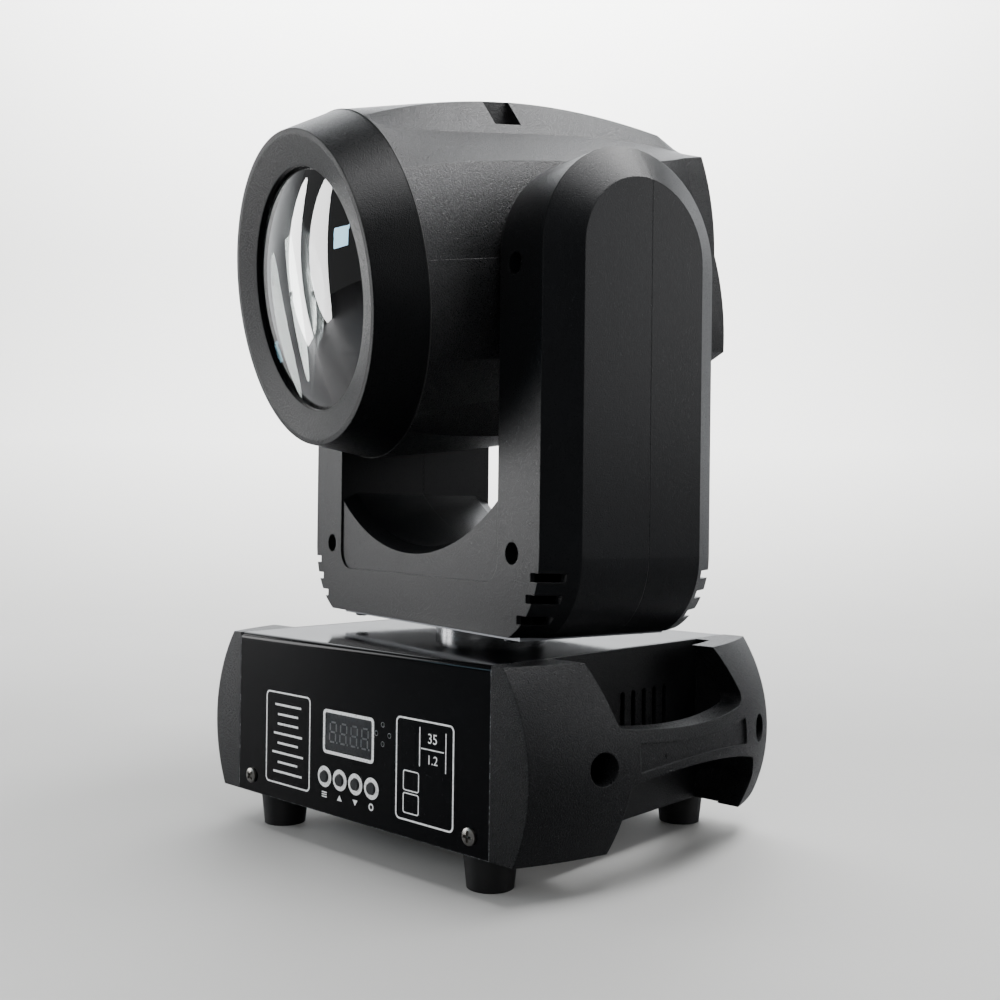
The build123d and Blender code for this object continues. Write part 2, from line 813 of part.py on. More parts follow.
with BuildPart() as pan_motor_bracket:
    with BuildSketch(Plane.XZ.offset(-pan_motor_y)):
        with Locations((pan_motor_x, tray_sheet)):
            Rectangle(2 * (bracket_leg_x + bracket_plate),
                      pan_motor_face_z + bracket_plate - tray_sheet,
                      align=(Align.CENTER, Align.MIN))
            Rectangle(2 * bracket_leg_x, pan_motor_face_z - tray_sheet,
                      align=(Align.CENTER, Align.MIN), mode=Mode.SUBTRACT)
    extrude(amount=bracket_half_depth, both=True)
    with BuildSketch(pan_motor_plane):
        Circle(motor_spigot_r + part_gap)
    extrude(amount=bracket_plate, mode=Mode.SUBTRACT)
pan_motor_bracket.part.label = "pan_motor_bracket"

pan_motor = stepper_motor(pan_motor_plane, motor_face, motor_length)
pan_pulley = belt_pulley(pan_motor_plane.offset(pan_top - pan_motor_face_z),
                         pan_top - pan_motor_face_z + motor_length / 2)
pan_belt = belt_loop(Plane.XY.offset(pan_top - belt_inset), pan_wheel_r, (0, pan_y),
                     (pan_motor_x, pan_motor_y))


def screw(head_face, shank):
    """A pan-head screw: the head stands on head_face and the shank goes behind it."""
    with BuildPart() as fastener:
        with BuildSketch(head_face):
            Circle(screw_head_r)
        extrude(amount=screw_head)
        with BuildSketch(head_face):
            Circle(screw_shank_r)
        extrude(amount=-shank)
    return fastener.part


case_screw_faces = []
for x, z in panel_screws:
    case_screw_faces.append((Plane((x, -panel_y, z), z_dir=(0, -1, 0)), panel_screw_length))
    case_screw_faces.append((Plane((x, panel_y, z), z_dir=(0, 1, 0)), panel_screw_length))
for side in (-1, 1):
    for y in (cap_bolt_front, cap_bolt_rear):
        seat = Plane((side * (half_width + cap_screw_seat), y, cap_bolt_z), z_dir=(side, 0, 0))
        case_screw_faces.append((seat, cap_screw_seat + panel_screw_length))
for x, y in foot_places:
    case_screw_faces.append((Plane((x, y, -foot_floor), z_dir=(0, 0, -1)), foot_floor + tray_sheet))
case_screws = Compound([screw(face, shank) for face, shank in case_screw_faces])

# ==== Yoke =======================================================================================
yoke_bottom = base_height + yoke_clearance
arm_top = yoke_bottom + arm_rise
trough_bottom = yoke_bottom + trough_rise
trough_side = yoke_bottom + trough_side_rise
front_panel_bottom = yoke_bottom + front_panel_rise
yoke_screw_low = yoke_bottom + screw_low_rise
yoke_screw_high = yoke_bottom + screw_high_rise
upright_waist_z = yoke_bottom + upright_waist_rise
tilt_z = yoke_bottom + tilt_rise
tilt_motor_z = yoke_bottom + tilt_motor_rise
tilt_wheel_end = yoke_half_width - tilt_wheel_inset
corner_x = yoke_half_width - yoke_corner_r
corner_z = yoke_bottom + yoke_corner_rise


def yoke_outline(y, inset, narrower):
    """Both arms and the bottom as one block seen from the front, at depth y."""
    top = arm_top - inset
    outer = yoke_half_width - inset - narrower
    corner = yoke_corner_r - inset
    low_end = corner_x - narrower + sqrt(corner**2 - yoke_corner_rise**2)
    with BuildSketch(Plane.XZ.offset(-y)) as outline:
        with BuildLine():
            Line((0, yoke_bottom), (low_end, yoke_bottom))
            RadiusArc((low_end, yoke_bottom), (outer, corner_z), -corner)
            Polyline((outer, corner_z), (outer, top), (0, top))
            mirror(about=Plane.YZ)
        make_face()
    return outline.sketch


def arm_outline(x, inset, narrower):
    """An arm seen from the side, at distance x from the pan axis."""
    half = yoke_half_depth - inset - narrower
    centre_z = arm_top - yoke_half_depth
    with BuildSketch(Plane.YZ.offset(x)) as outline:
        with BuildLine():
            Polyline((-half, centre_z), (-half, yoke_bottom), (half, yoke_bottom), (half, centre_z))
            ThreePointArc((half, centre_z), (0, centre_z + half), (-half, centre_z))
        make_face()
    return outline.sketch


def gap_outline(y, inset, lower):
    """The gap between the arms with the trough below the head, at depth y."""
    inner = arm_inner + inset
    side = trough_side - inset - lower
    with BuildSketch(Plane.XZ.offset(-y)) as outline:
        with BuildLine():
            ThreePointArc((-inner, side), (0, side - trough_side + trough_bottom), (inner, side))
            Polyline((inner, side), (inner, arm_top), (-inner, arm_top), (-inner, side))
        make_face()
    return outline.sketch


def yoke_form(inset=0.0):
    """The yoke's whole form, drawn inwards by inset."""
    depth = yoke_half_depth - inset
    outer = yoke_half_width - inset
    with BuildPart() as arms:
        flat = outer - arm_chamfer_x
        extrude(arm_outline(-flat, inset, 0), amount=2 * flat, dir=(1, 0, 0))
        for side in (-1, 1):
            loft(sections=[arm_outline(side * flat, inset, 0),
                           arm_outline(side * outer, inset, arm_chamfer_y)], ruled=True)
    with BuildPart() as gap:
        flat = depth - trough_lip_depth
        extrude(gap_outline(-flat, inset, 0), amount=2 * flat, dir=(0, 1, 0))
        for side in (-1, 1):
            loft(sections=[gap_outline(side * flat, inset, 0),
                           gap_outline(side * depth, inset, trough_lip)], ruled=True)
    with BuildPart() as form:
        flat = depth - arm_chamfer_y
        extrude(yoke_outline(-flat, inset, 0), amount=2 * flat, dir=(0, 1, 0))
        for side in (-1, 1):
            loft(sections=[yoke_outline(side * flat, inset, 0),
                           yoke_outline(side * depth, inset, arm_chamfer_x)], ruled=True)
        add(arms.part, mode=Mode.INTERSECT)
        add(gap.part, mode=Mode.SUBTRACT)
    return form.part


upright_x = arm_inner + yoke_wall + frame_gap
upright_out = upright_x + frame_sheet
yoke_screw_places = [(x, z) for x in (-yoke_screw_x, yoke_screw_x)
                     for z in (yoke_screw_low, yoke_screw_high)]
boss_end = frame_tab_y + frame_sheet + part_gap

with BuildPart() as yoke_covers:
    add(yoke_form())
    add(yoke_form(yoke_wall), mode=Mode.SUBTRACT)
    for end in (-1, 1):
        face = Plane.XZ.offset(end * (yoke_half_depth - yoke_wall))
        with BuildSketch(face):
            with Locations(*yoke_screw_places):
                Circle(yoke_bore_r + boss_wall)
        extrude(amount=-end * (yoke_half_depth - yoke_wall - boss_end))
        outside = Plane.XZ.offset(end * yoke_half_depth)
        with BuildSketch(outside):
            with Locations(*yoke_screw_places):
                Circle(yoke_bore_r)
        extrude(amount=-end * yoke_bore_depth, mode=Mode.SUBTRACT)
        with BuildSketch(outside):
            with Locations(*yoke_screw_places):
                Circle(screw_shank_r + part_gap)
        extrude(amount=-end * (yoke_half_depth - boss_end), mode=Mode.SUBTRACT)
        with BuildSketch(outside) as front_recess:
            with Locations((0, front_panel_bottom)):
                Rectangle(2 * arm_inner, trough_side - front_panel_bottom,
                          align=(Align.CENTER, Align.MIN))
            fillet(front_recess.vertices().group_by(Axis.Y)[0], front_panel_corner)
        extrude(amount=-end * front_panel_inset, mode=Mode.SUBTRACT)
        for side in (-1, 1):
            for i in range(corner_slot_count):
                z = yoke_bottom + corner_slot_rise - i * corner_slot_pitch
                edge = corner_x - arm_chamfer_x + sqrt(yoke_corner_r**2 - (corner_z - z)**2)
                with Locations((side * (edge - corner_slot_start), end * -yoke_half_depth, z)):
                    Box(2 * corner_slot_reach, 2 * corner_slot_depth, corner_slot_height,
                        align=(Align.MIN if side > 0 else Align.MAX, Align.CENTER, Align.CENTER),
                        mode=Mode.SUBTRACT)
    with BuildSketch(Plane.YZ.offset(-yoke_half_width + 2 * yoke_wall + arm_chamfer_x)):
        with Locations((0, tilt_z)):
            Circle(hub_hole_r)
    extrude(amount=2 * (yoke_half_width - 2 * yoke_wall - arm_chamfer_x), mode=Mode.SUBTRACT)

with BuildPart() as yoke_front_cover:
    add(yoke_covers.part)
    split(bisect_by=Plane.XZ.offset(-seam_y), keep=Keep.TOP)
yoke_front_cover.part.label = "yoke_front_cover"

with BuildPart() as yoke_rear_cover:
    add(yoke_covers.part)
    split(bisect_by=Plane.XZ.offset(-seam_y), keep=Keep.BOTTOM)
yoke_rear_cover.part.label = "yoke_rear_cover"

with BuildPart() as yoke_frame:
    with BuildSketch(Plane.XY.offset(yoke_bottom - frame_sheet)):
        Rectangle(2 * (upright_out + frame_foot), 2 * frame_plate_half_depth)
    extrude(amount=frame_sheet)
    for side in (-1, 1):
        with BuildSketch(Plane.YZ.offset(side * upright_x)):
            with BuildLine():
                Polyline((-frame_half_depth, upright_waist_z), (-frame_half_depth, yoke_bottom),
                         (frame_half_depth, yoke_bottom), (frame_half_depth, upright_waist_z),
                         (upright_head_r, tilt_z))
                ThreePointArc((upright_head_r, tilt_z), (0, tilt_z + upright_head_r),
                              (-upright_head_r, tilt_z))
                Line((-upright_head_r, tilt_z), (-frame_half_depth, upright_waist_z))
            make_face()
        extrude(amount=side * frame_sheet)
        for end in (-1, 1):
            for z in (yoke_screw_low, yoke_screw_high):
                with Locations((side * upright_x, end * frame_tab_y, z)):
                    Box(frame_sheet + frame_tab, frame_sheet, frame_tab_height,
                        align=(Align.MIN if side > 0 else Align.MAX,
                               Align.MIN if end > 0 else Align.MAX, Align.CENTER))
    with BuildSketch(Plane.YZ.offset(-upright_out)):
        with Locations((0, tilt_z)):
            Circle(hub_hole_r)
        with Locations((0, yoke_bottom + upright_window_rise)):
            RectangleRounded(frame_half_depth, upright_window, pulley_r)
    extrude(amount=2 * upright_out, mode=Mode.SUBTRACT)
    with BuildSketch(Plane.YZ.offset(upright_x)):
        with Locations((0, tilt_motor_z)):
            Circle(motor_spigot_r + part_gap)
    extrude(amount=frame_sheet, mode=Mode.SUBTRACT)
    with BuildSketch(Plane.XZ.offset(frame_half_depth)):
        with Locations(*yoke_screw_places):
            Circle(screw_shank_r + part_gap)
    extrude(amount=-2 * frame_half_depth, mode=Mode.SUBTRACT)
    with BuildSketch(Plane.XY.offset(yoke_bottom)):
        Circle(pan_shaft_bore)
        with GridLocations(2 * plate_screw_x, 2 * plate_screw_y, 2, 2):
            Circle(screw_shank_r + part_gap)
    extrude(amount=-frame_sheet, mode=Mode.SUBTRACT)
yoke_frame.part.label = "yoke_frame"

with BuildPart() as pan_shaft:
    with BuildSketch(Plane.XY.offset(yoke_bottom - frame_sheet)):
        Circle(shaft_flange_r)
    extrude(amount=-shaft_flange)
    with BuildSketch(Plane.XY.offset(shaft_bottom)):
        Circle(pan_shaft_r)
    extrude(amount=yoke_bottom - frame_sheet - shaft_bottom)
    with BuildSketch(Plane.XY.offset(shaft_bottom)):
        Circle(pan_shaft_bore)
    extrude(amount=yoke_bottom - shaft_bottom, mode=Mode.SUBTRACT)
pan_shaft.part.label = "pan_shaft"

pan_wheel = belt_wheel(Plane.XY.offset(pan_top), pan_wheel_r, pan_shaft_r + run_fit)

with BuildPart() as tilt_bearings:
    for side in (-1, 1):
        with BuildSketch(Plane.YZ.offset(side * upright_out)):
            with Locations((0, tilt_z)):
                Circle(tilt_bearing_r)
                Circle(hub_r + run_fit, mode=Mode.SUBTRACT)
        extrude(amount=side * tilt_bearing_width)
tilt_bearings.part.label = "tilt_bearings"

tilt_motor_plane = Plane((upright_x, 0, tilt_motor_z), x_dir=(0, 1, 0), z_dir=(1, 0, 0))
tilt_motor = stepper_motor(tilt_motor_plane, motor_face, motor_length)
tilt_pulley = belt_pulley(tilt_motor_plane.offset(tilt_wheel_end - upright_x),
                          tilt_wheel_end - upright_x + motor_length / 2)
tilt_belt = belt_loop(Plane.YZ.offset(tilt_wheel_end - belt_inset), tilt_wheel_r, (0, tilt_z),
                      (0, tilt_motor_z))

yoke_screw_faces = []
for end in (-1, 1):
    for x, z in yoke_screw_places:
        seat = Plane((x, end * (yoke_half_depth - yoke_bore_depth), z), z_dir=(0, end, 0))
        yoke_screw_faces.append((seat, yoke_half_depth - yoke_bore_depth - frame_tab_y + screw_head))
for x in (-plate_screw_x, plate_screw_x):
    for y in (-plate_screw_y, plate_screw_y):
        seat = Plane((x, y, yoke_bottom - frame_sheet), z_dir=(0, 0, -1))
        yoke_screw_faces.append((seat, panel_screw_length))
yoke_screws = Compound([screw(face, shank) for face, shank in yoke_screw_faces])

# ==== Head =======================================================================================
def on_seam(x):
    """A point of the oval seam behind the bezel."""
    return (x, seam_half_height * sqrt(1 - (x / seam_half_width)**2))


# Half-sections of the head from front to rear: place, half width, then the corners of the side,
# the shoulder and the spine, and the crown.
head_stations = [
    (shell_front, seam_half_width, on_seam(73.0), on_seam(53.5), on_seam(42.0), seam_half_height),
    (-30.0, 84.5, (76.5, 51.0), (54.0, 71.5), (41.0, 92.0), 98.0),
    (35.0, 82.0, (74.5, 51.5), (52.5, 71.5), (40.0, 90.5), 96.5),
    (shell_rear, 62.0, (60.5, 58.5), (46.0, 67.5), (40.0, 77.5), 80.0),
]
rear_station = (rear_end, 60.0, (58.5, 60.0), (44.0, 65.5), (40.0, 66.6), 67.5)


def half_section(station, inset=0.0):
    """The upper half of the head's outline at one station, drawn inwards by inset."""
    s, width, side, shoulder, spine, crown = station
    across = 1 - inset / width
    upright = 1 - inset / crown
    corners = [(x * across, z * upright) for x, z in (side, shoulder, spine)]
    start = (width * across, 0)
    bulge = ((start[0] + corners[0][0]) / 2 + side_bulge, corners[0][1] / 2)
    top = (0, crown * upright)
    with BuildSketch(Plane.XZ.offset(-s)) as section:
        with BuildLine():
            ThreePointArc(start, bulge, corners[0])
            Polyline(*corners)
            ThreePointArc(corners[2], top, (-corners[2][0], corners[2][1]))
            Polyline(*[(-x, z) for x, z in reversed(corners)])
            ThreePointArc((-corners[0][0], corners[0][1]), (-bulge[0], bulge[1]), (-start[0], 0))
            Line((-start[0], 0), start)
        make_face()
    return section.sketch


def head_form(inset=0.0):
    """The upper half of the head as a solid, drawn inwards by inset."""
    with BuildPart() as form:
        loft(sections=[half_section(station, inset) for station in head_stations])
    return form.part


frame_top = head_floor + head_sheet
cover_posts = [(x, s) for x in (-cover_post_x, cover_post_x) for s in cover_post_places]

with BuildPart() as head_half:
    add(head_form())
    add(head_form(shell_wall), mode=Mode.SUBTRACT)
    with BuildSketch(Plane.YZ.offset(-arm_inner)):
        Circle(hub_hole_r)
    extrude(amount=2 * arm_inner, mode=Mode.SUBTRACT)

with BuildPart() as cover_post_set:
    with BuildSketch(Plane.XY.offset(-head_floor)):
        with Locations(*cover_posts):
            Circle(cover_post_r)
    extrude(amount=seam_half_height)
    add(head_form(shell_wall / 2), mode=Mode.INTERSECT)

with BuildPart() as head_lower_cover:
    add(head_half.part.mirror(Plane.XY))
    add(cover_post_set.part.mirror(Plane.XY))
head_lower_cover.part.label = "head_lower_cover"

with BuildPart() as notch_pocket:
    with Locations((notch_x, (notch_front + notch_rear) / 2, notch_bottom)):
        Box(seam_half_width, notch_rear - notch_front + 2 * shell_wall, seam_half_height,
            align=(Align.MIN, Align.CENTER, Align.MIN))
    add(head_form(shell_wall / 2), mode=Mode.INTERSECT)

with BuildPart() as head_upper_cover:
    add(head_half.part)
    add(notch_pocket.part)
    with Locations((notch_x + shell_wall, (notch_front + notch_rear) / 2, notch_bottom + shell_wall)):
        Box(seam_half_width, notch_rear - notch_front, seam_half_height,
            align=(Align.MIN, Align.CENTER, Align.MIN), mode=Mode.SUBTRACT)
head_upper_cover.part.label = "head_upper_cover"

with BuildPart() as rear_grille:
    loft(sections=[half_section(head_stations[-1]), half_section(rear_station)], ruled=True)
    loft(sections=[half_section(head_stations[-1], shell_wall), half_section(rear_station, shell_wall)],
         ruled=True, mode=Mode.SUBTRACT)
    extrude(half_section(rear_station, shell_wall / 2), amount=rear_plate, dir=(0, -1, 0))
    mirror(about=Plane.XY)
    with BuildSketch(Plane.XZ.offset(-rear_end)):
        with GridLocations(0, rear_slot_pitch, 1, rear_slot_count):
            SlotOverall(rear_slot_length, rear_slot_height)
    extrude(amount=rear_plate, mode=Mode.SUBTRACT)
    with BuildSketch(Plane.XZ.offset(-rear_end)):
        with GridLocations(2 * rear_screw_x, 2 * rear_screw_z, 2, 2):
            Circle(screw_shank_r + part_gap)
    extrude(amount=rear_plate, mode=Mode.SUBTRACT)
rear_grille.part.label = "rear_grille"

with BuildPart() as front_bezel:
    with BuildSketch(Plane.XZ.offset(-bezel_front)):
        Circle(bezel_r)
    with BuildSketch(Plane.XZ.offset(-shell_front)):
        Ellipse(seam_half_width, seam_half_height)
    loft()
    with BuildSketch(Plane.XY):
        with BuildLine():
            Polyline((0, bezel_front), (bezel_mouth_r, bezel_front), (lens_opening_r, lens_lip),
                     (lens_opening_r, lens_seat), (lens_bore_r, lens_seat),
                     (lens_bore_r, shell_front), (0, shell_front), (0, bezel_front))
        make_face()
        with Locations(((pocket_inner_r + pocket_outer_r) / 2, (shell_front + lens_seat) / 2)):
            Rectangle(pocket_outer_r - pocket_inner_r, shell_front - lens_seat)
    revolve(axis=Axis.Y, mode=Mode.SUBTRACT)
front_bezel.part.label = "front_bezel"


def dome_middle(rim_x, rim_y, apex_y):
    """The middle point of the arc from a lens's rim to its apex on the axis."""
    rise = rim_y - apex_y
    radius = (rim_x**2 + rise**2) / (2 * abs(rise))
    drop = radius - sqrt(radius**2 - (rim_x / 2)**2)
    return (rim_x / 2, apex_y + copysign(drop, rise))


# The front lens: flat behind, a spherical front, held by its edge.
lens_front = lens_seat + part_gap
lens_rear = lens_front + lens_edge

with BuildPart() as objective_lens:
    with BuildSketch(Plane.XY):
        with BuildLine():
            Polyline((0, lens_rear), (lens_r, lens_rear), (lens_r, lens_front),
                     (lens_opening_r - part_gap, lens_front))
            ThreePointArc((lens_opening_r - part_gap, lens_front),
                          dome_middle(lens_opening_r - part_gap, lens_front, lens_front - lens_bulge),
                          (0, lens_front - lens_bulge))
            Line((0, lens_front - lens_bulge), (0, lens_rear))
        make_face()
    revolve(axis=Axis.Y)
objective_lens.part.label = "objective_lens"

ring_rear = lens_rear + ring_thick

with BuildPart() as lens_retaining_ring:
    with BuildSketch(Plane.XY):
        with BuildLine():
            Polyline((lens_opening_r - ring_lip, lens_rear), (lens_bore_r - part_gap, lens_rear),
                     (lens_bore_r - part_gap, ring_rear), (lens_opening_r, ring_rear),
                     (baffle_rear_r + baffle_wall, baffle_rear), (baffle_rear_r, baffle_rear),
                     (lens_opening_r - ring_lip, ring_rear), (lens_opening_r - ring_lip, lens_rear))
        make_face()
    revolve(axis=Axis.Y)
lens_retaining_ring.part.label = "lens_retaining_ring"

with BuildPart() as head_frame:
    with BuildSketch(Plane.XY.offset(head_floor)):
        with BuildLine():
            Polyline((-side_plate_x, floor_front), (side_plate_x, floor_front),
                     (side_plate_x, floor_step), (floor_tail_x, floor_step),
                     (floor_tail_x, floor_rear), (-floor_tail_x, floor_rear),
                     (-floor_tail_x, floor_step), (-side_plate_x, floor_step),
                     (-side_plate_x, floor_front))
        make_face()
    extrude(amount=head_sheet)
    for side in (-1, 1):
        with BuildSketch(Plane.YZ.offset(side * side_plate_x)):
            with Locations((0, head_floor)):
                Rectangle(2 * side_plate_depth, side_plate_top - head_floor,
                          align=(Align.CENTER, Align.MIN))
            Circle(hub_bore, mode=Mode.SUBTRACT)
        extrude(amount=-side * head_sheet)
    with BuildSketch(Plane.XZ.offset(-wheel_plate)):
        with Locations((0, head_floor)):
            Rectangle(2 * side_plate_x, wheel_plate_top - head_floor, align=(Align.CENTER, Align.MIN))
        Circle(beam_hole_r, mode=Mode.SUBTRACT)
        with Locations((-wheel_x, 0), (wheel_x, 0)):
            Circle(small_spigot_r + part_gap, mode=Mode.SUBTRACT)
    extrude(amount=-head_sheet)
    for place in (rail_front, rail_rear):
        with BuildSketch(Plane.XZ.offset(-place)):
            with Locations((0, head_floor)):
                Rectangle(2 * rail_tab_x, rail_tab_top - head_floor, align=(Align.CENTER, Align.MIN))
            with Locations((-rail_x, rail_z), (0, rail_z), (rail_x, rail_z)):
                Circle(rail_r + run_fit, mode=Mode.SUBTRACT)
        extrude(amount=-head_sheet)
head_frame.part.label = "head_frame"

with BuildPart() as tilt_hubs:
    for side in (-1, 1):
        with BuildSketch(Plane.YZ.offset(side * side_plate_x)):
            Circle(hub_flange_r)
        extrude(amount=side * hub_flange)
        with BuildSketch(Plane.YZ.offset(side * side_plate_x)):
            Circle(hub_r)
        extrude(amount=side * (tilt_wheel_end - side_plate_x))
        with BuildSketch(Plane.YZ.offset(side * side_plate_x)):
            Circle(hub_bore)
        extrude(amount=side * (tilt_wheel_end - side_plate_x), mode=Mode.SUBTRACT)
tilt_hubs.part.label = "tilt_hubs"

tilt_wheel = belt_wheel(Plane.YZ.offset(tilt_wheel_end), tilt_wheel_r, hub_r + run_fit)

# Light engine, cooling and fan, in order along the optical axis.
with BuildPart() as led_engine:
    with BuildSketch(Plane.XZ.offset(-engine_rear)):
        Rectangle(engine_side, engine_side)
    extrude(amount=head_sheet)
    with BuildSketch(Plane.XZ.offset(-engine_rear)):
        Circle(holder_r)
        Circle(condenser_r + part_gap, mode=Mode.SUBTRACT)
    extrude(amount=engine_rear - holder_front)
    with BuildSketch(Plane.XZ.offset(-engine_rear)):
        Rectangle(emitter_side, emitter_side)
    extrude(amount=2 * head_sheet)
led_engine.part.label = "led_engine"

with BuildPart() as condenser_lens:
    with BuildSketch(Plane.XY):
        with BuildLine():
            Polyline((0, condenser_rear), (condenser_r, condenser_rear),
                     (condenser_r, condenser_rear - condenser_edge))
            ThreePointArc((condenser_r, condenser_rear - condenser_edge),
                          dome_middle(condenser_r, condenser_rear - condenser_edge, condenser_front),
                          (0, condenser_front))
            Line((0, condenser_front), (0, condenser_rear))
        make_face()
    revolve(axis=Axis.Y)
condenser_lens.part.label = "condenser_lens"

with BuildPart() as heat_sink:
    with BuildSketch(Plane.XZ.offset(-engine_rear)):
        with Locations((0, frame_top)):
            Rectangle(sink_width, sink_height, align=(Align.CENTER, Align.MIN))
    extrude(amount=-sink_base)
    with BuildSketch(Plane.XZ.offset(-engine_rear - sink_base)):
        with Locations((0, frame_top + sink_height / 2)):
            with GridLocations((sink_width - fin_thick) / (fin_count - 1), 0, fin_count, 1):
                Rectangle(fin_thick, sink_height)
    extrude(amount=-fin_length)
heat_sink.part.label = "heat_sink"

fan_front = engine_rear + sink_base + fin_length
fan_z = frame_top + fan_side / 2

with BuildPart() as head_fan_frame:
    with BuildSketch(Plane.XZ.offset(-fan_front)):
        with Locations((0, fan_z)):
            RectangleRounded(fan_side, fan_side, fan_corner)
            Circle(fan_bore_r, mode=Mode.SUBTRACT)
    extrude(amount=-fan_depth)
    with BuildSketch(Plane.XZ.offset(-fan_front - fan_depth)):
        with Locations((0, fan_z)):
            Circle(fan_hub_r)
            with Locations((0, 0)):
                Rectangle(2 * fan_bore_r + fan_strut, fan_strut)
                Rectangle(fan_strut, 2 * fan_bore_r + fan_strut)
    extrude(amount=fan_strut)
head_fan_frame.part.label = "head_fan_frame"

with BuildPart() as head_fan_rotor:
    with BuildSketch(Plane.XZ.offset(-fan_front - slide_fit)):
        with Locations((0, fan_z)):
            Circle(fan_hub_r)
    extrude(amount=-(fan_depth - fan_strut - 2 * slide_fit))
    with BuildSketch(Plane.XZ.offset(-fan_front - fan_strut)):
        with Locations((0, fan_z)):
            with PolarLocations((fan_hub_r + fan_blade_r) / 2, fan_blades):
                Rectangle(fan_blade_r - fan_hub_r + 2, fan_blade_width)
    extrude(amount=-(fan_depth - 3 * fan_strut))
head_fan_rotor.part.label = "head_fan_rotor"


def motor_shaft(face, length):
    """The shaft of a small motor, standing out of its face and reaching back into it."""
    with BuildPart() as shaft:
        with BuildSketch(face):
            Circle(motor_shaft_r)
        extrude(amount=length)
        with BuildSketch(face):
            Circle(motor_shaft_r)
        extrude(amount=-small_motor / 2)
    return shaft.part


wheel_faces = [Plane((x, wheel_plate, 0), x_dir=(1, 0, 0), z_dir=(0, 1, 0)) for x in (-wheel_x, wheel_x)]
wheel_motors = Compound([stepper_motor(face, small_motor, small_motor_length, small_spigot_r)
                         for face in wheel_faces])


def filter_wheel(side, front, window_r):
    """A disc on its motor's shaft with a ring of round windows."""
    face = wheel_faces[0 if side < 0 else 1]
    with BuildPart() as wheel:
        with BuildSketch(Plane.XZ.offset(-front)):
            with Locations((side * wheel_x, 0)):
                Circle(filter_wheel_r)
                with PolarLocations(wheel_x, filter_count):
                    Circle(window_r, mode=Mode.SUBTRACT)
        extrude(amount=-head_sheet)
        add(motor_shaft(face, front + head_sheet - wheel_plate))
    return wheel.part


gobo_wheel = filter_wheel(1, gobo_front, gobo_r)
colour_wheel = filter_wheel(-1, colour_front, colour_r)

# The prism swings on its own motor from its rest at the side into the beam.
prism_face = Plane((prism_pivot_x, prism_motor_front, prism_pivot_z), x_dir=(1, 0, 0), z_dir=(0, -1, 0))
prism_reach = sqrt(prism_pivot_x**2 + prism_pivot_z**2)
rest_angle = degrees(atan2(-prism_pivot_z, -prism_pivot_x)) - prism_swing
prism_place = (prism_pivot_x + prism_reach * cos(radians(rest_angle)),
               prism_pivot_z + prism_reach * sin(radians(rest_angle)))

with BuildPart() as prism_motor:
    with BuildSketch(prism_face):
        Circle(prism_motor_r)
    extrude(amount=-small_motor_length)
    with BuildSketch(prism_face):
        Circle(motor_shaft_r + run_fit)
    extrude(amount=-small_motor_length, mode=Mode.SUBTRACT)
prism_motor.part.label = "prism_motor"

with BuildPart() as prism_arm:
    with BuildSketch(Plane.XZ.offset(-prism_front)):
        with Locations(((prism_pivot_x + prism_place[0]) / 2, (prism_pivot_z + prism_place[1]) / 2)):
            Rectangle(prism_reach, prism_arm_width, rotation=rest_angle)
        with Locations((prism_pivot_x, prism_pivot_z)):
            Circle(prism_arm_width)
        with Locations(prism_place):
            Circle(prism_r + prism_ring)
            Circle(prism_r + slide_fit, mode=Mode.SUBTRACT)
    extrude(amount=-prism_thick)
    with BuildSketch(prism_face):
        Circle(motor_shaft_r)
    extrude(amount=-small_motor / 2)
    with BuildSketch(prism_face):
        Circle(motor_shaft_r)
    extrude(amount=prism_motor_front - prism_front)
prism_arm.part.label = "prism_arm"

with BuildPart() as prism:
    with BuildSketch(Plane.XZ.offset(-prism_front)):
        with Locations(prism_place):
            RegularPolygon(prism_r / 2, prism_facets)
    extrude(amount=-prism_thick, taper=-prism_taper)
    with BuildSketch(Plane.XZ.offset(-prism_front - prism_thick / 2)):
        with Locations(prism_place):
            Circle(prism_r)
    extrude(amount=-prism_thick / 2)
prism.part.label = "prism"

# Focus: a carriage on two rails, moved by a screw.
with BuildPart() as focus_rails:
    with BuildSketch(Plane.XZ.offset(-rail_front)):
        with Locations((-rail_x, rail_z), (rail_x, rail_z)):
            Circle(rail_r)
    extrude(amount=-(rail_rear + head_sheet - rail_front))
focus_rails.part.label = "focus_rails"

focus_face = Plane((0, rail_rear + head_sheet, rail_z), x_dir=(1, 0, 0), z_dir=(0, -1, 0))

with BuildPart() as focus_motor:
    with BuildSketch(focus_face):
        Circle(rail_z - frame_top if rail_z > frame_top else frame_top - rail_z)
    extrude(amount=-small_motor_length)
    with BuildSketch(focus_face):
        Circle(rail_r + run_fit)
    extrude(amount=-small_motor_length, mode=Mode.SUBTRACT)
focus_motor.part.label = "focus_motor"

with BuildPart() as focus_screw:
    with BuildSketch(focus_face):
        Circle(rail_r)
    extrude(amount=rail_rear + head_sheet - rail_front)
    with BuildSketch(focus_face):
        Circle(rail_r)
    extrude(amount=-small_motor_length / 2)
focus_screw.part.label = "focus_screw"

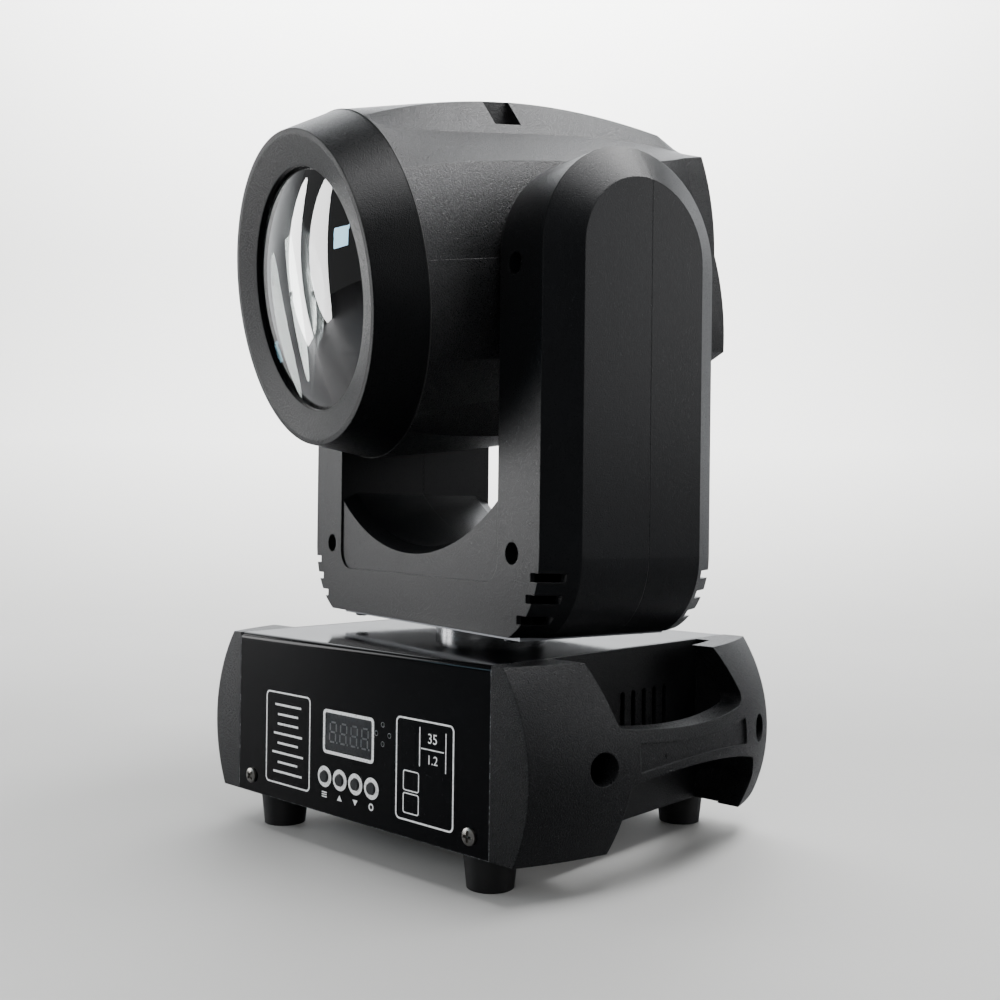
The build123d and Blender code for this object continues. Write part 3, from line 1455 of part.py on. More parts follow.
with BuildPart() as focus_carriage:
    with BuildSketch(Plane.XZ.offset(-carriage_front)):
        with Locations((0, rail_z)):
            Rectangle(2 * (rail_x + 2 * rail_r), carriage_height)
    extrude(amount=-carriage_length)
    with BuildSketch(Plane.XZ.offset(-carriage_front - carriage_length / 2)):
        with Locations((0, rail_z)):
            Rectangle(2 * focus_r, -2 * rail_z, align=(Align.CENTER, Align.MIN))
        Circle(focus_r + focus_ring)
        Circle(focus_r + run_fit, mode=Mode.SUBTRACT)
    extrude(amount=-focus_edge)
    with BuildSketch(Plane.XZ.offset(-carriage_front)):
        with Locations((-rail_x, rail_z), (rail_x, rail_z)):
            Circle(rail_r + run_fit)
        with Locations((0, rail_z)):
            Circle(rail_r + slide_fit)
    extrude(amount=-carriage_length, mode=Mode.SUBTRACT)
focus_carriage.part.label = "focus_carriage"

focus_front = carriage_front + carriage_length / 2
focus_back = focus_front + focus_edge

with BuildPart() as focus_lens:
    with BuildSketch(Plane.XY):
        with BuildLine():
            ThreePointArc((0, focus_front - focus_bulge),
                          dome_middle(focus_r, focus_front, focus_front - focus_bulge),
                          (focus_r, focus_front))
            Line((focus_r, focus_front), (focus_r, focus_back))
            ThreePointArc((focus_r, focus_back), dome_middle(focus_r, focus_back, focus_back + focus_bulge),
                          (0, focus_back + focus_bulge))
            Line((0, focus_back + focus_bulge), (0, focus_front - focus_bulge))
        make_face()
    revolve(axis=Axis.Y)
focus_lens.part.label = "focus_lens"

head_screw_faces = [Plane((x, rear_end, z), z_dir=(0, 1, 0))
                    for x in (-rear_screw_x, rear_screw_x) for z in (-rear_screw_z, rear_screw_z)]
head_screws = Compound([screw(face, rear_plate + screw_head) for face in head_screw_faces])

# ==== Written pieces =============================================================================
base_pose = Location((0, 0, 0))
yoke_pose = Location((0, pan_y, 0), (0, 0, pan_at_rest))
head_pose = yoke_pose * Location((0, 0, tilt_z), (tilt_at_rest, 0, 0))

base_pieces = {
    "base_cover": base_cover.part,
    "base_tray": base_tray.part,
    "right_end_cap": right_end_cap.part,
    "left_end_cap": left_end_cap.part,
    "rubber_feet": rubber_feet.part,
    "display_window": display_window.part,
    "display_module": display_module.part,
    "control_board": control_board.part,
    "board_spacers": board_spacers.part,
    "menu_button": buttons[0],
    "up_button": buttons[1],
    "down_button": buttons[2],
    "enter_button": buttons[3],
    "power_supply": power_supply.part,
    "driver_board": driver_board.part,
    "power_inlet": power_inlet.part,
    "dmx_input_socket": dmx_input_socket,
    "dmx_output_socket": dmx_output_socket,
    "pan_bearing": pan_bearing.part,
    "pan_motor_bracket": pan_motor_bracket.part,
    "pan_motor": pan_motor,
    "pan_pulley": pan_pulley,
    "pan_belt": pan_belt,
    "case_screws": case_screws,
}
yoke_pieces = {
    "yoke_front_cover": yoke_front_cover.part,
    "yoke_rear_cover": yoke_rear_cover.part,
    "yoke_frame": yoke_frame.part,
    "pan_shaft": pan_shaft.part,
    "pan_wheel": pan_wheel,
    "tilt_bearings": tilt_bearings.part,
    "tilt_motor": tilt_motor,
    "tilt_pulley": tilt_pulley,
    "tilt_belt": tilt_belt,
    "yoke_screws": yoke_screws,
}
head_pieces = {
    "head_upper_cover": head_upper_cover.part,
    "head_lower_cover": head_lower_cover.part,
    "front_bezel": front_bezel.part,
    "rear_grille": rear_grille.part,
    "objective_lens": objective_lens.part,
    "lens_retaining_ring": lens_retaining_ring.part,
    "head_frame": head_frame.part,
    "tilt_hubs": tilt_hubs.part,
    "tilt_wheel": tilt_wheel,
    "led_engine": led_engine.part,
    "condenser_lens": condenser_lens.part,
    "heat_sink": heat_sink.part,
    "head_fan_frame": head_fan_frame.part,
    "head_fan_rotor": head_fan_rotor.part,
    "wheel_motors": wheel_motors,
    "gobo_wheel": gobo_wheel,
    "colour_wheel": colour_wheel,
    "prism_motor": prism_motor.part,
    "prism_arm": prism_arm.part,
    "prism": prism.part,
    "focus_rails": focus_rails.part,
    "focus_motor": focus_motor.part,
    "focus_screw": focus_screw.part,
    "focus_carriage": focus_carriage.part,
    "focus_lens": focus_lens.part,
    "head_screws": head_screws,
}

os.makedirs("parts", exist_ok=True)
for pose, pieces in ((base_pose, base_pieces), (yoke_pose, yoke_pieces), (head_pose, head_pieces)):
    for name, piece in pieces.items():
        placed = piece.moved(pose)
        placed.label = name
        export_step(placed, f"parts/{name}.step")
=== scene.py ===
import json
import math
from itertools import product

import bpy
from mathutils import Matrix, Vector


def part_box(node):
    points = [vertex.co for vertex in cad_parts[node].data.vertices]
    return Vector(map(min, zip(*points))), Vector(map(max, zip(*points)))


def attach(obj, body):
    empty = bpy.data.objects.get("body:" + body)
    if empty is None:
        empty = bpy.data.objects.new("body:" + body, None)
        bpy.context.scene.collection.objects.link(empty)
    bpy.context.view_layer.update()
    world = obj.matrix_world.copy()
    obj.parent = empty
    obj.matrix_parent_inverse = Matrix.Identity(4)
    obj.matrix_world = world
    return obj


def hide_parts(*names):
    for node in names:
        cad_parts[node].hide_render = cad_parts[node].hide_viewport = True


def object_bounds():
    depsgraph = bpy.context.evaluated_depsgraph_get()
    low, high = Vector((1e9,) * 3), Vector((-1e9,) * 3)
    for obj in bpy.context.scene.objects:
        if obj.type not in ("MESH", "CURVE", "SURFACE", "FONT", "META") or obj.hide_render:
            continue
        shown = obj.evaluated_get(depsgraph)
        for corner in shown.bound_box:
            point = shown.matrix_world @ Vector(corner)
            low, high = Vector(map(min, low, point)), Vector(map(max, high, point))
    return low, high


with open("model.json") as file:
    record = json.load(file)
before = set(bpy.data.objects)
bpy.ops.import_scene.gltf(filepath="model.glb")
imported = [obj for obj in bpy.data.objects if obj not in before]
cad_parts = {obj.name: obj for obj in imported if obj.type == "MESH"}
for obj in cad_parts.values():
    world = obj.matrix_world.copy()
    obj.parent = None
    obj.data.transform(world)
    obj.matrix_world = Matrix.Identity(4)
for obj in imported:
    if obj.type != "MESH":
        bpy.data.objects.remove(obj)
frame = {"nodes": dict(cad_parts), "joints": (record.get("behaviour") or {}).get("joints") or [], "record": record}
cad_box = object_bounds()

MM = 0.001
joints = {joint["name"]: joint for joint in frame["joints"]}

# ---- Places of the moving bodies -----------------------------------------------------------------
pan_origin = Vector(joints["pan"]["pos_m"])
tilt_centre = Vector(joints["tilt"]["pos_m"])
tilt_axis = Vector(joints["tilt"]["axis"])
forward = Vector(joints["focus_slide"]["axis"])


def place_matrix(origin, across, back):
    """The place of a body whose own X is across and whose own Y points back."""
    upward = across.cross(back)
    turned = Matrix((across, back, upward)).transposed().to_4x4()
    return Matrix.Translation(origin) @ turned


yoke_back = Vector((0, 0, 1)).cross(tilt_axis)
base_place = Matrix.Identity(4)
yoke_place = place_matrix(Vector((pan_origin.x, pan_origin.y, 0)), tilt_axis, yoke_back)
head_place = place_matrix(tilt_centre, tilt_axis, -forward)

# ---- Camera --------------------------------------------------------------------------------------
CAMERA_AT = Vector((0.4472, -0.4831, 0.1612))
CAMERA_TURN = math.radians(42.34)
CAMERA_RISE = math.radians(0.23)
CAMERA_ROLL = 0.012

look = Vector((-math.sin(CAMERA_TURN) * math.cos(CAMERA_RISE),
               math.cos(CAMERA_TURN) * math.cos(CAMERA_RISE), math.sin(CAMERA_RISE)))
level_right = look.cross(Vector((0, 0, 1))).normalized()
level_up = level_right.cross(look)
camera_right = level_right * math.cos(CAMERA_ROLL) + level_up * math.sin(CAMERA_ROLL)
camera_up = camera_right.cross(look)
camera_data = bpy.data.cameras.new("camera")
camera_data.sensor_width = 36.0
camera_data.lens = 39.62
camera_data.shift_x = 0.0037
camera_data.shift_y = 0.0122
camera_data.clip_start = 0.01
camera = bpy.data.objects.new("camera", camera_data)
camera_turned = Matrix((camera_right, camera_up, -look)).transposed().to_4x4()
camera.matrix_world = Matrix.Translation(CAMERA_AT) @ camera_turned
bpy.context.scene.collection.objects.link(camera)
bpy.context.scene.camera = camera


# ---- Nodes and colours ---------------------------------------------------------------------------
def linear(code, alpha=1.0):
    """An sRGB hex colour as linear values."""
    values = [int(code[i:i + 2], 16) / 255 for i in (1, 3, 5)]
    return [v / 12.92 if v <= 0.04045 else ((v + 0.055) / 1.055) ** 2.4 for v in values] + [alpha]


def add_node(tree, kind, settings=None, links=None):
    """A node with its settings; links gives each input a value or the output that feeds it."""
    made = tree.nodes.new(kind)
    for name, value in (settings or {}).items():
        setattr(made, name, value)
    for name, value in (links or {}).items():
        if isinstance(value, bpy.types.NodeSocket):
            tree.links.new(value, made.inputs[name])
        else:
            made.inputs[name].default_value = value
    return made


def start_material(name, **values):
    """A new material, its tree, its shader and its Object coordinates."""
    made = bpy.data.materials.new(name)
    made.use_nodes = True
    tree = made.node_tree
    shader = tree.nodes["Principled BSDF"]
    for key, value in values.items():
        shader.inputs[key.replace("_", " ")].default_value = value
    place = add_node(tree, "ShaderNodeTexCoord").outputs["Object"]
    return made, tree, shader, place


# ---- Materials -----------------------------------------------------------------------------------
def moulded_abs(name, dark, light, rough, grain_mm, grain_depth_mm, edge_mm=0.8, glint=0.08,
                gleam=0.8, facing_tint="#78787a"):
    """ABS moulded in a spark-eroded tool: a fine pebble whose facets glint only in a highlight.
    The real grain is about 0.3 mm, drawn as coarse as it needs to show. The moulded corners are
    eased and catch a thin light line. A low gleam keeps the black deep where it is seen aslant,
    and the facing tint does so where it is seen square on."""
    made, tree, shader, place = start_material(name, IOR=1.53, Specular_IOR_Level=gleam)
    shader.inputs["Specular Tint"].default_value = linear(facing_tint)
    handling = add_node(tree, "ShaderNodeTexNoise", None,
                        {"Vector": place, "Scale": 1 / (40 * MM), "Detail": 3.0})
    tone = add_node(tree, "ShaderNodeMix", {"data_type": "RGBA"},
                    {0: handling.outputs["Fac"], 6: linear(dark), 7: linear(light)})
    tree.links.new(tone.outputs[2], shader.inputs["Base Color"])
    pebble = add_node(tree, "ShaderNodeTexNoise", None,
                      {"Vector": place, "Scale": 1 / (grain_mm * MM), "Detail": 2.0})
    gloss = add_node(tree, "ShaderNodeMapRange", None,
                     {"Value": pebble.outputs["Fac"], "From Min": 0.35, "From Max": 0.65,
                      "To Min": rough - glint, "To Max": rough + glint})
    tree.links.new(gloss.outputs["Result"], shader.inputs["Roughness"])
    eased = add_node(tree, "ShaderNodeBevel", {"samples": 4}, {"Radius": edge_mm * MM})
    raised = add_node(tree, "ShaderNodeBump", None,
                      {"Height": pebble.outputs["Fac"], "Distance": grain_depth_mm * MM,
                       "Normal": eased.outputs["Normal"]})
    tree.links.new(raised.outputs["Normal"], shader.inputs["Normal"])
    return made


def enamelled_sheet(name, dark, light, rough, worn):
    """Gloss enamel baked on folded sheet steel: a deep black mirror with a faint orange peel,
    rubbed through to bright metal in specks along the folds and cut edges."""
    made, tree, shader, place = start_material(name, IOR=1.5, Specular_IOR_Level=0.18)
    shader.inputs["Specular Tint"].default_value = linear("#c4c4c6")
    eased = add_node(tree, "ShaderNodeBevel", {"samples": 6}, {"Radius": 0.9 * MM})
    flat = add_node(tree, "ShaderNodeNewGeometry")
    turned = add_node(tree, "ShaderNodeVectorMath", {"operation": "DOT_PRODUCT"},
                      {0: eased.outputs["Normal"], 1: flat.outputs["Normal"]})
    edge = add_node(tree, "ShaderNodeMapRange", None,
                    {"Value": turned.outputs["Value"], "From Min": 0.97, "From Max": 0.85})
    chips = add_node(tree, "ShaderNodeTexNoise", None,
                     {"Vector": place, "Scale": 1 / (3.5 * MM), "Detail": 4.0, "Roughness": 0.65})
    chipped = add_node(tree, "ShaderNodeMapRange", None,
                       {"Value": chips.outputs["Fac"], "From Min": 0.44, "From Max": 0.6,
                        "To Min": 0.15})
    rubbed = add_node(tree, "ShaderNodeMath", {"operation": "MULTIPLY"},
                      {0: edge.outputs["Result"], 1: chipped.outputs["Result"]})
    bare = add_node(tree, "ShaderNodeMath", {"operation": "MULTIPLY"},
                    {0: rubbed.outputs["Value"], 1: worn})
    haze = add_node(tree, "ShaderNodeTexNoise", None,
                    {"Vector": place, "Scale": 1 / (45 * MM), "Detail": 4.0})
    dust = add_node(tree, "ShaderNodeTexNoise", None,
                    {"Vector": place, "Scale": 1 / (1.1 * MM), "Detail": 1.0})
    settled = add_node(tree, "ShaderNodeMapRange", None,
                       {"Value": dust.outputs["Fac"], "From Min": 0.72, "From Max": 0.8})
    enamel = add_node(tree, "ShaderNodeMix", {"data_type": "RGBA"},
                      {0: settled.outputs["Result"], 6: linear(dark), 7: linear(light)})
    surface = add_node(tree, "ShaderNodeMix", {"data_type": "RGBA"},
                       {0: bare.outputs["Value"], 6: enamel.outputs[2], 7: linear("#b9bcc0")})
    tree.links.new(surface.outputs[2], shader.inputs["Base Color"])
    tree.links.new(bare.outputs["Value"], shader.inputs["Metallic"])
    gloss = add_node(tree, "ShaderNodeMapRange", None,
                     {"Value": haze.outputs["Fac"], "From Min": 0.3, "From Max": 0.7,
                      "To Min": rough - 0.02, "To Max": rough + 0.05})
    scuffed = add_node(tree, "ShaderNodeMath", {"operation": "MULTIPLY_ADD"},
                       {0: bare.outputs["Value"], 1: 0.25, 2: gloss.outputs["Result"]})
    tree.links.new(scuffed.outputs["Value"], shader.inputs["Roughness"])
    peel = add_node(tree, "ShaderNodeTexNoise", None,
                    {"Vector": place, "Scale": 1 / (2.5 * MM), "Detail": 1.0})
    raised = add_node(tree, "ShaderNodeBump", None,
                      {"Height": peel.outputs["Fac"], "Distance": 0.006 * MM,
                       "Normal": eased.outputs["Normal"]})
    tree.links.new(raised.outputs["Normal"], shader.inputs["Normal"])
    return made


def worked_metal(name, dark, light, rough, line_mm, stretch, depth_mm=0.01):
    """Turned, rolled, drawn or ground metal: fine tool lines that stretch the highlights."""
    made, tree, shader, place = start_material(name, Metallic=1.0)
    along = add_node(tree, "ShaderNodeMapping", None, {"Vector": place, "Scale": stretch})
    lines = add_node(tree, "ShaderNodeTexNoise", None,
                     {"Vector": along.outputs["Vector"], "Scale": 1 / (line_mm * MM),
                      "Detail": 4.0})
    tone = add_node(tree, "ShaderNodeMix", {"data_type": "RGBA"},
                    {0: lines.outputs["Fac"], 6: linear(dark), 7: linear(light)})
    tree.links.new(tone.outputs[2], shader.inputs["Base Color"])
    gloss = add_node(tree, "ShaderNodeMapRange", None,
                     {"Value": lines.outputs["Fac"], "To Min": rough - 0.06,
                      "To Max": rough + 0.08})
    tree.links.new(gloss.outputs["Result"], shader.inputs["Roughness"])
    raised = add_node(tree, "ShaderNodeBump", None,
                      {"Height": lines.outputs["Fac"], "Distance": depth_mm * MM, "Strength": 0.5})
    tree.links.new(raised.outputs["Normal"], shader.inputs["Normal"])
    return made


def polished_glass(name, tint, ior, rough, coat=0.0):
    """Pressed and polished optical glass or acrylic: clear, with a trace of dust on it."""
    made, tree, shader, place = start_material(name, IOR=ior, Transmission_Weight=1.0,
                                               Coat_Weight=coat, Coat_IOR=1.8, Coat_Roughness=0.0)
    dust = add_node(tree, "ShaderNodeTexNoise", None,
                    {"Vector": place, "Scale": 1 / (1.4 * MM), "Detail": 2.0})
    settled = add_node(tree, "ShaderNodeMapRange", None,
                       {"Value": dust.outputs["Fac"], "From Min": 0.66, "From Max": 0.85,
                        "To Min": rough, "To Max": rough + 0.03})
    tree.links.new(settled.outputs["Result"], shader.inputs["Roughness"])
    body = add_node(tree, "ShaderNodeMix", {"data_type": "RGBA"},
                    {0: dust.outputs["Fac"], 6: linear(tint), 7: linear("#f4f8f6")})
    tree.links.new(body.outputs[2], shader.inputs["Base Color"])
    return made


def moulded_rubber(name, dark, light):
    """Moulded rubber: dull, with a pale bloom and a faint skin texture."""
    made, tree, shader, place = start_material(name, IOR=1.52)
    bloom = add_node(tree, "ShaderNodeTexNoise", None,
                     {"Vector": place, "Scale": 1 / (7 * MM), "Detail": 3.0})
    tone = add_node(tree, "ShaderNodeMix", {"data_type": "RGBA"},
                    {0: bloom.outputs["Fac"], 6: linear(dark), 7: linear(light)})
    tree.links.new(tone.outputs[2], shader.inputs["Base Color"])
    gloss = add_node(tree, "ShaderNodeMapRange", None,
                     {"Value": bloom.outputs["Fac"], "To Min": 0.4, "To Max": 0.62})
    tree.links.new(gloss.outputs["Result"], shader.inputs["Roughness"])
    eased = add_node(tree, "ShaderNodeBevel", {"samples": 4}, {"Radius": 0.8 * MM})
    skin = add_node(tree, "ShaderNodeTexNoise", None,
                    {"Vector": place, "Scale": 1 / (0.9 * MM), "Detail": 1.0})
    raised = add_node(tree, "ShaderNodeBump", None,
                      {"Height": skin.outputs["Fac"], "Distance": 0.02 * MM,
                       "Normal": eased.outputs["Normal"]})
    tree.links.new(raised.outputs["Normal"], shader.inputs["Normal"])
    return made


def solder_mask(name):
    """Green lacquer over copper tracks: glossy, with lighter track areas."""
    made, tree, shader, place = start_material(name, IOR=1.5, Roughness=0.35)
    tracks = add_node(tree, "ShaderNodeTexBrick", None,
                      {"Vector": place, "Scale": 220.0, "Color1": linear("#0e4a26"),
                       "Color2": linear("#115a2e"), "Mortar": linear("#0a3a1e"),
                       "Mortar Size": 0.03})
    tree.links.new(tracks.outputs["Color"], shader.inputs["Base Color"])
    return made


def screen_ink(name, thin, full):
    """Screen-printed ink: matte and slightly uneven, thinner where the mesh starved it."""
    made, tree, shader, place = start_material(name, IOR=1.48, Roughness=0.55)
    mesh_marks = add_node(tree, "ShaderNodeTexNoise", None,
                          {"Vector": place, "Scale": 1 / (1.2 * MM), "Detail": 2.0})
    laid = add_node(tree, "ShaderNodeMapRange", None,
                    {"Value": mesh_marks.outputs["Fac"], "From Min": 0.3, "From Max": 0.5})
    tone = add_node(tree, "ShaderNodeMix", {"data_type": "RGBA"},
                    {0: laid.outputs["Result"], 6: linear(thin), 7: linear(full)})
    tree.links.new(tone.outputs[2], shader.inputs["Base Color"])
    return made


EVEN = (1, 1, 1)
TURNED = (1, 1, 14)
DRAWN_ACROSS = (14, 1, 1)
DRAWN_BACK = (1, 14, 1)

screws_bright = worked_metal("nickel_plated_screw", "#84827d", "#a3a19c", 0.3, 1.5, EVEN)
screws_black = worked_metal("black_zinc_screw", "#2a2b2d", "#4c4d50", 0.3, 1.5, EVEN)
print_ink = screen_ink("white_screen_ink", "#b9bbbd", "#f2f3f4")
segment_ink = screen_ink("unlit_display_segment", "#8a8c8f", "#a4a6a9")
display_filter = moulded_abs("grey_display_filter", "#3c3e41", "#47494c", 0.3, 1.0, 0.005, 0.2)

finishes = {
    "cover_steel": enamelled_sheet("black_gloss_enamel_on_steel", "#060607", "#1d1e20", 0.07, 1.0),
    "tray_steel": enamelled_sheet("satin_black_enamel_on_steel", "#0b0b0c", "#1c1c1e", 0.36, 0.4),
    "cap_plastic": moulded_abs("textured_black_abs_cap", "#08090a", "#0d0e0f", 0.34, 0.6, 0.3,
                               edge_mm=0.9, glint=0.14, gleam=0.9),
    "foot_rubber": moulded_rubber("black_foot_rubber", "#060607", "#0b0b0c"),
    "window_acrylic": polished_glass("smoked_acrylic", "#b4b6ba", 1.49, 0.02),
    "display_face": moulded_abs("display_body_plastic", "#101012", "#1a1a1c", 0.4, 1.0, 0.01, 0.2),
    "circuit_board": solder_mask("green_solder_mask"),
    "spacer_brass": worked_metal("turned_brass", "#a8823c", "#c9a45a", 0.3, 3.0, TURNED),
    "button_plastic": moulded_abs("satin_black_button_abs", "#232426", "#2e2f32", 0.38, 0.8, 0.02,
                                  edge_mm=0.6),
    "supply_case": worked_metal("galvanised_sheet", "#8e9194", "#b4b7ba", 0.35, 9.0, EVEN),
    "inlet_plastic": moulded_abs("black_nylon", "#0f0f10", "#18181a", 0.4, 0.9, 0.02, edge_mm=0.5),
    "socket_nickel": worked_metal("black_nickel_plate", "#1d1d1f", "#333336", 0.3, 6.0, EVEN),
    "bearing_steel": worked_metal("ground_bearing_steel", "#8a8b8d", "#b9babc", 0.22, 3.0, TURNED),
    "bracket_steel": worked_metal("zinc_plated_steel", "#55575a", "#7a7c80", 0.34, 7.0, EVEN),
    "motor_black": enamelled_sheet("black_motor_paint", "#0d0d0e", "#1d1d1f", 0.33, 0.3),
    "drive_aluminium": worked_metal("turned_aluminium", "#77797c", "#9fa1a4", 0.28, 3.0, TURNED),
    "belt_rubber": moulded_rubber("belt_rubber", "#0f0f10", "#191919"),
    "screw_steel": screws_black,
    "yoke_plastic": moulded_abs("satin_black_abs_yoke", "#0b0c0d", "#101113", 0.32, 0.6, 0.08,
                                glint=0.05, gleam=0.4),
    "head_plastic": moulded_abs("textured_black_abs_head", "#08090a", "#0d0e0f", 0.36, 0.6, 0.34,
                                edge_mm=0.5, glint=0.16, gleam=0.7, facing_tint="#b4b4b6"),
    "bezel_plastic": moulded_abs("satin_black_abs_bezel", "#08090a", "#0e0f10", 0.34, 0.6, 0.2,
                                 edge_mm=1.0, glint=0.1, gleam=0.2),
    "lens_glass": polished_glass("polished_crown_glass", "#eaf5f1", 1.62, 0.0, coat=1.0),
    "ring_aluminium": worked_metal("black_anodised_ring", "#040405", "#080809", 0.5, 6.0, EVEN,
                                   depth_mm=0.002),
    "chassis_aluminium": worked_metal("rolled_aluminium", "#3b3c3e", "#4c4d4f", 0.4, 9.0,
                                      DRAWN_ACROSS),
    "sink_aluminium": worked_metal("extruded_aluminium", "#7d8083", "#a5a8ab", 0.4, 6.0,
                                   DRAWN_BACK),
    "fan_plastic": moulded_abs("black_pbt_fan", "#0f0f10", "#19191a", 0.4, 0.9, 0.02, edge_mm=0.4),
    "wheel_aluminium": worked_metal("etched_aluminium_wheel", "#3f4042", "#56585a", 0.4, 3.0, EVEN),
    "carriage_aluminium": worked_metal("black_anodised_carriage", "#121214", "#1c1c1e", 0.4, 3.0,
                                       EVEN),
    "rail_steel": worked_metal("ground_rail_steel", "#9c9ea0", "#c6c8ca", 0.2, 3.0, DRAWN_BACK),
}
slot_of = {part["node"]: part["material_slot"] for part in frame["record"]["subparts"]}
for node_name, cad_object in frame["nodes"].items():
    for material_slot in cad_object.material_slots:
        material_slot.material = finishes[slot_of[node_name]]

# ---- Floor and light -----------------------------------------------------------------------------
floor_z = cad_box[0][2]
FLOOR_TONE_RISE = 0.35
FLOOR_FRONT = -3.0
FLOOR_BACK = 1.2
BEND_RADIUS = 0.8
BEND_STEPS = 12
WALL_TOP = 4.0
HALF_WIDTH = 4.0


def painted_board(name):
    """Emulsion on board: pale and matte, with a faint mottle from the roller. Glossy rays see a painted
    reflection, a darker copy of its tone that is darkest on the floor, so the object's gloss mirrors it duller
    than it looks."""
    made, tree, shader, place = start_material(name, Roughness=0.6)
    mottle = add_node(tree, "ShaderNodeTexNoise", None,
                      {"Vector": place, "Scale": 1 / (180 * MM), "Detail": 3.0})
    board = add_node(tree, "ShaderNodeMix", {"data_type": "RGBA"},
                     {0: mottle.outputs["Fac"], 6: linear("#b4b4b3"), 7: linear("#babab9")})
    parts = add_node(tree, "ShaderNodeSeparateXYZ", None, {"Vector": place})
    up_wall = add_node(tree, "ShaderNodeMapRange", None,
                       {"Value": parts.outputs["Z"], "From Min": floor_z,
                        "From Max": floor_z + FLOOR_TONE_RISE})
    tone = add_node(tree, "ShaderNodeMix", {"data_type": "RGBA"},
                    {0: up_wall.outputs["Result"], 6: board.outputs[2], 7: linear("#fafaf8")})
    # Painted reflection: darker floor and wall tones that only glossy rays see.
    painted_reflection_tone = add_node(tree, "ShaderNodeMix", {"data_type": "RGBA"},
                        {0: up_wall.outputs["Result"], 6: linear("#5c5c5e"), 7: linear("#b0b2b4")})
    path = add_node(tree, "ShaderNodeLightPath")
    tone_with_painted_reflection = add_node(tree, "ShaderNodeMix", {"data_type": "RGBA"},
                         {0: path.outputs["Is Glossy Ray"], 6: tone.outputs[2],
                          7: painted_reflection_tone.outputs[2]})
    tree.links.new(tone_with_painted_reflection.outputs[2], shader.inputs["Base Color"])
    return made


def build_backdrop():
    """A floor that curves up into a wall behind the object."""
    back = Vector((-math.sin(CAMERA_TURN), math.cos(CAMERA_TURN), 0))
    side = Vector((back.y, -back.x, 0))
    profile = [(FLOOR_FRONT, 0.0), (FLOOR_BACK, 0.0)]
    for step in range(1, BEND_STEPS + 1):
        angle = step * math.pi / (2 * BEND_STEPS)
        profile.append((FLOOR_BACK + BEND_RADIUS * math.sin(angle),
                        BEND_RADIUS - BEND_RADIUS * math.cos(angle)))
    profile.append((FLOOR_BACK + BEND_RADIUS, WALL_TOP))
    verts = []
    for run, rise in profile:
        for reach in (-HALF_WIDTH, HALF_WIDTH):
            verts.append(back * run + side * reach + Vector((0, 0, floor_z + rise)))
    faces = [(2 * i, 2 * i + 1, 2 * i + 3, 2 * i + 2) for i in range(len(profile) - 1)]
    data = bpy.data.meshes.new("floor")
    data.from_pydata(verts, [], faces)
    data.materials.append(painted_board("pale_painted_board"))
    for polygon in data.polygons:
        polygon.use_smooth = True
    floor = bpy.data.objects.new("floor", data)
    bpy.context.scene.collection.objects.link(floor)


def area_light(name, at, target, size, power, colour="#ffffff", shape="RECTANGLE"):
    """A soft lamp of that size, aimed at a point."""
    data = bpy.data.lights.new(name, "AREA")
    data.shape = shape
    data.size, data.size_y = size
    data.energy = power
    data.color = linear(colour)[:3]
    lamp = bpy.data.objects.new(name, data)
    lamp.location = at
    aim = (Vector(target) - Vector(at)).normalized()
    lamp.rotation_euler = aim.to_track_quat("-Z", "Y").to_euler()
    bpy.context.scene.collection.objects.link(lamp)


build_backdrop()
# The tall windows and the patch of sky are what the front lens mirrors. The softbox draws the
# head's shoulders, and the wall wash lights only the backdrop.
area_light("top_softbox", (0.45, 0.15, 1.4), (0, 0, 0.25), (1.3, 0.4), 28)
area_light("left_strip_window", (-1.5, -0.6, 0.42), (0, -0.1, 0.25), (0.26, 1.2), 8,
           shape="ELLIPSE")
area_light("left_tall_window", (-1.27, -0.98, 0.5), (0, -0.1, 0.28), (0.3, 1.1), 8,
           shape="ELLIPSE")
area_light("left_sky_window", (-1.0, -1.2, 0.54), (0, -0.1, 0.28), (0.2, 0.15), 1.2, "#a6d4ea")
area_light("right_window", (1.5, 0.65, 0.7), (0, 0, 0.25), (1.3, 0.9), 13)
area_light("front_fill", (0.5, -1.6, 0.8), (0, 0, 0.25), (0.9, 0.7), 8)
area_light("wall_wash", (-0.45, 0.5, 2.3), (-1.9, 2.1, 1.9), (2.6, 0.5), 300)

# The room beyond the set: pale behind the object, dim as a light on it.
ROOM_AS_LIGHT = 0.16
ROOM_AS_SEEN = 0.8
world = bpy.data.worlds.new("studio")
bpy.context.scene.world = world
world.use_nodes = True
room = world.node_tree.nodes["Background"]
room.inputs["Color"].default_value = linear("#eef0f2")
seen = add_node(world.node_tree, "ShaderNodeLightPath")
fill_level = add_node(world.node_tree, "ShaderNodeMapRange", None,
                      {"Value": seen.outputs["Is Camera Ray"], "To Min": ROOM_AS_LIGHT,
                       "To Max": ROOM_AS_SEEN})
world.node_tree.links.new(fill_level.outputs["Result"], room.inputs["Strength"])


# ---- Making pieces -------------------------------------------------------------------------------
INK_LIFT = 0.05


def finish_piece(name, mesh, place, body, material=None):
    """Puts a mesh made in a body's own frame, in millimetres, at its place, and lets it ride."""
    mesh.transform(place @ Matrix.Scale(MM, 4))
    if material:
        mesh.materials.clear()
        mesh.materials.append(material)
    elif mesh.materials[0] is None:
        mesh.materials.pop(index=0)
    piece = bpy.data.objects.new(name, mesh)
    bpy.context.scene.collection.objects.link(piece)
    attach(piece, body)
    return piece


def mesh_from(name, parts):
    """One mesh from a list of (points, faces)."""
    points, faces = [], []
    for some_points, some_faces in parts:
        start = len(points)
        points += some_points
        faces += [tuple(start + i for i in face) for face in some_faces]
    data = bpy.data.meshes.new(name)
    data.from_pydata(points, [], faces)
    return data


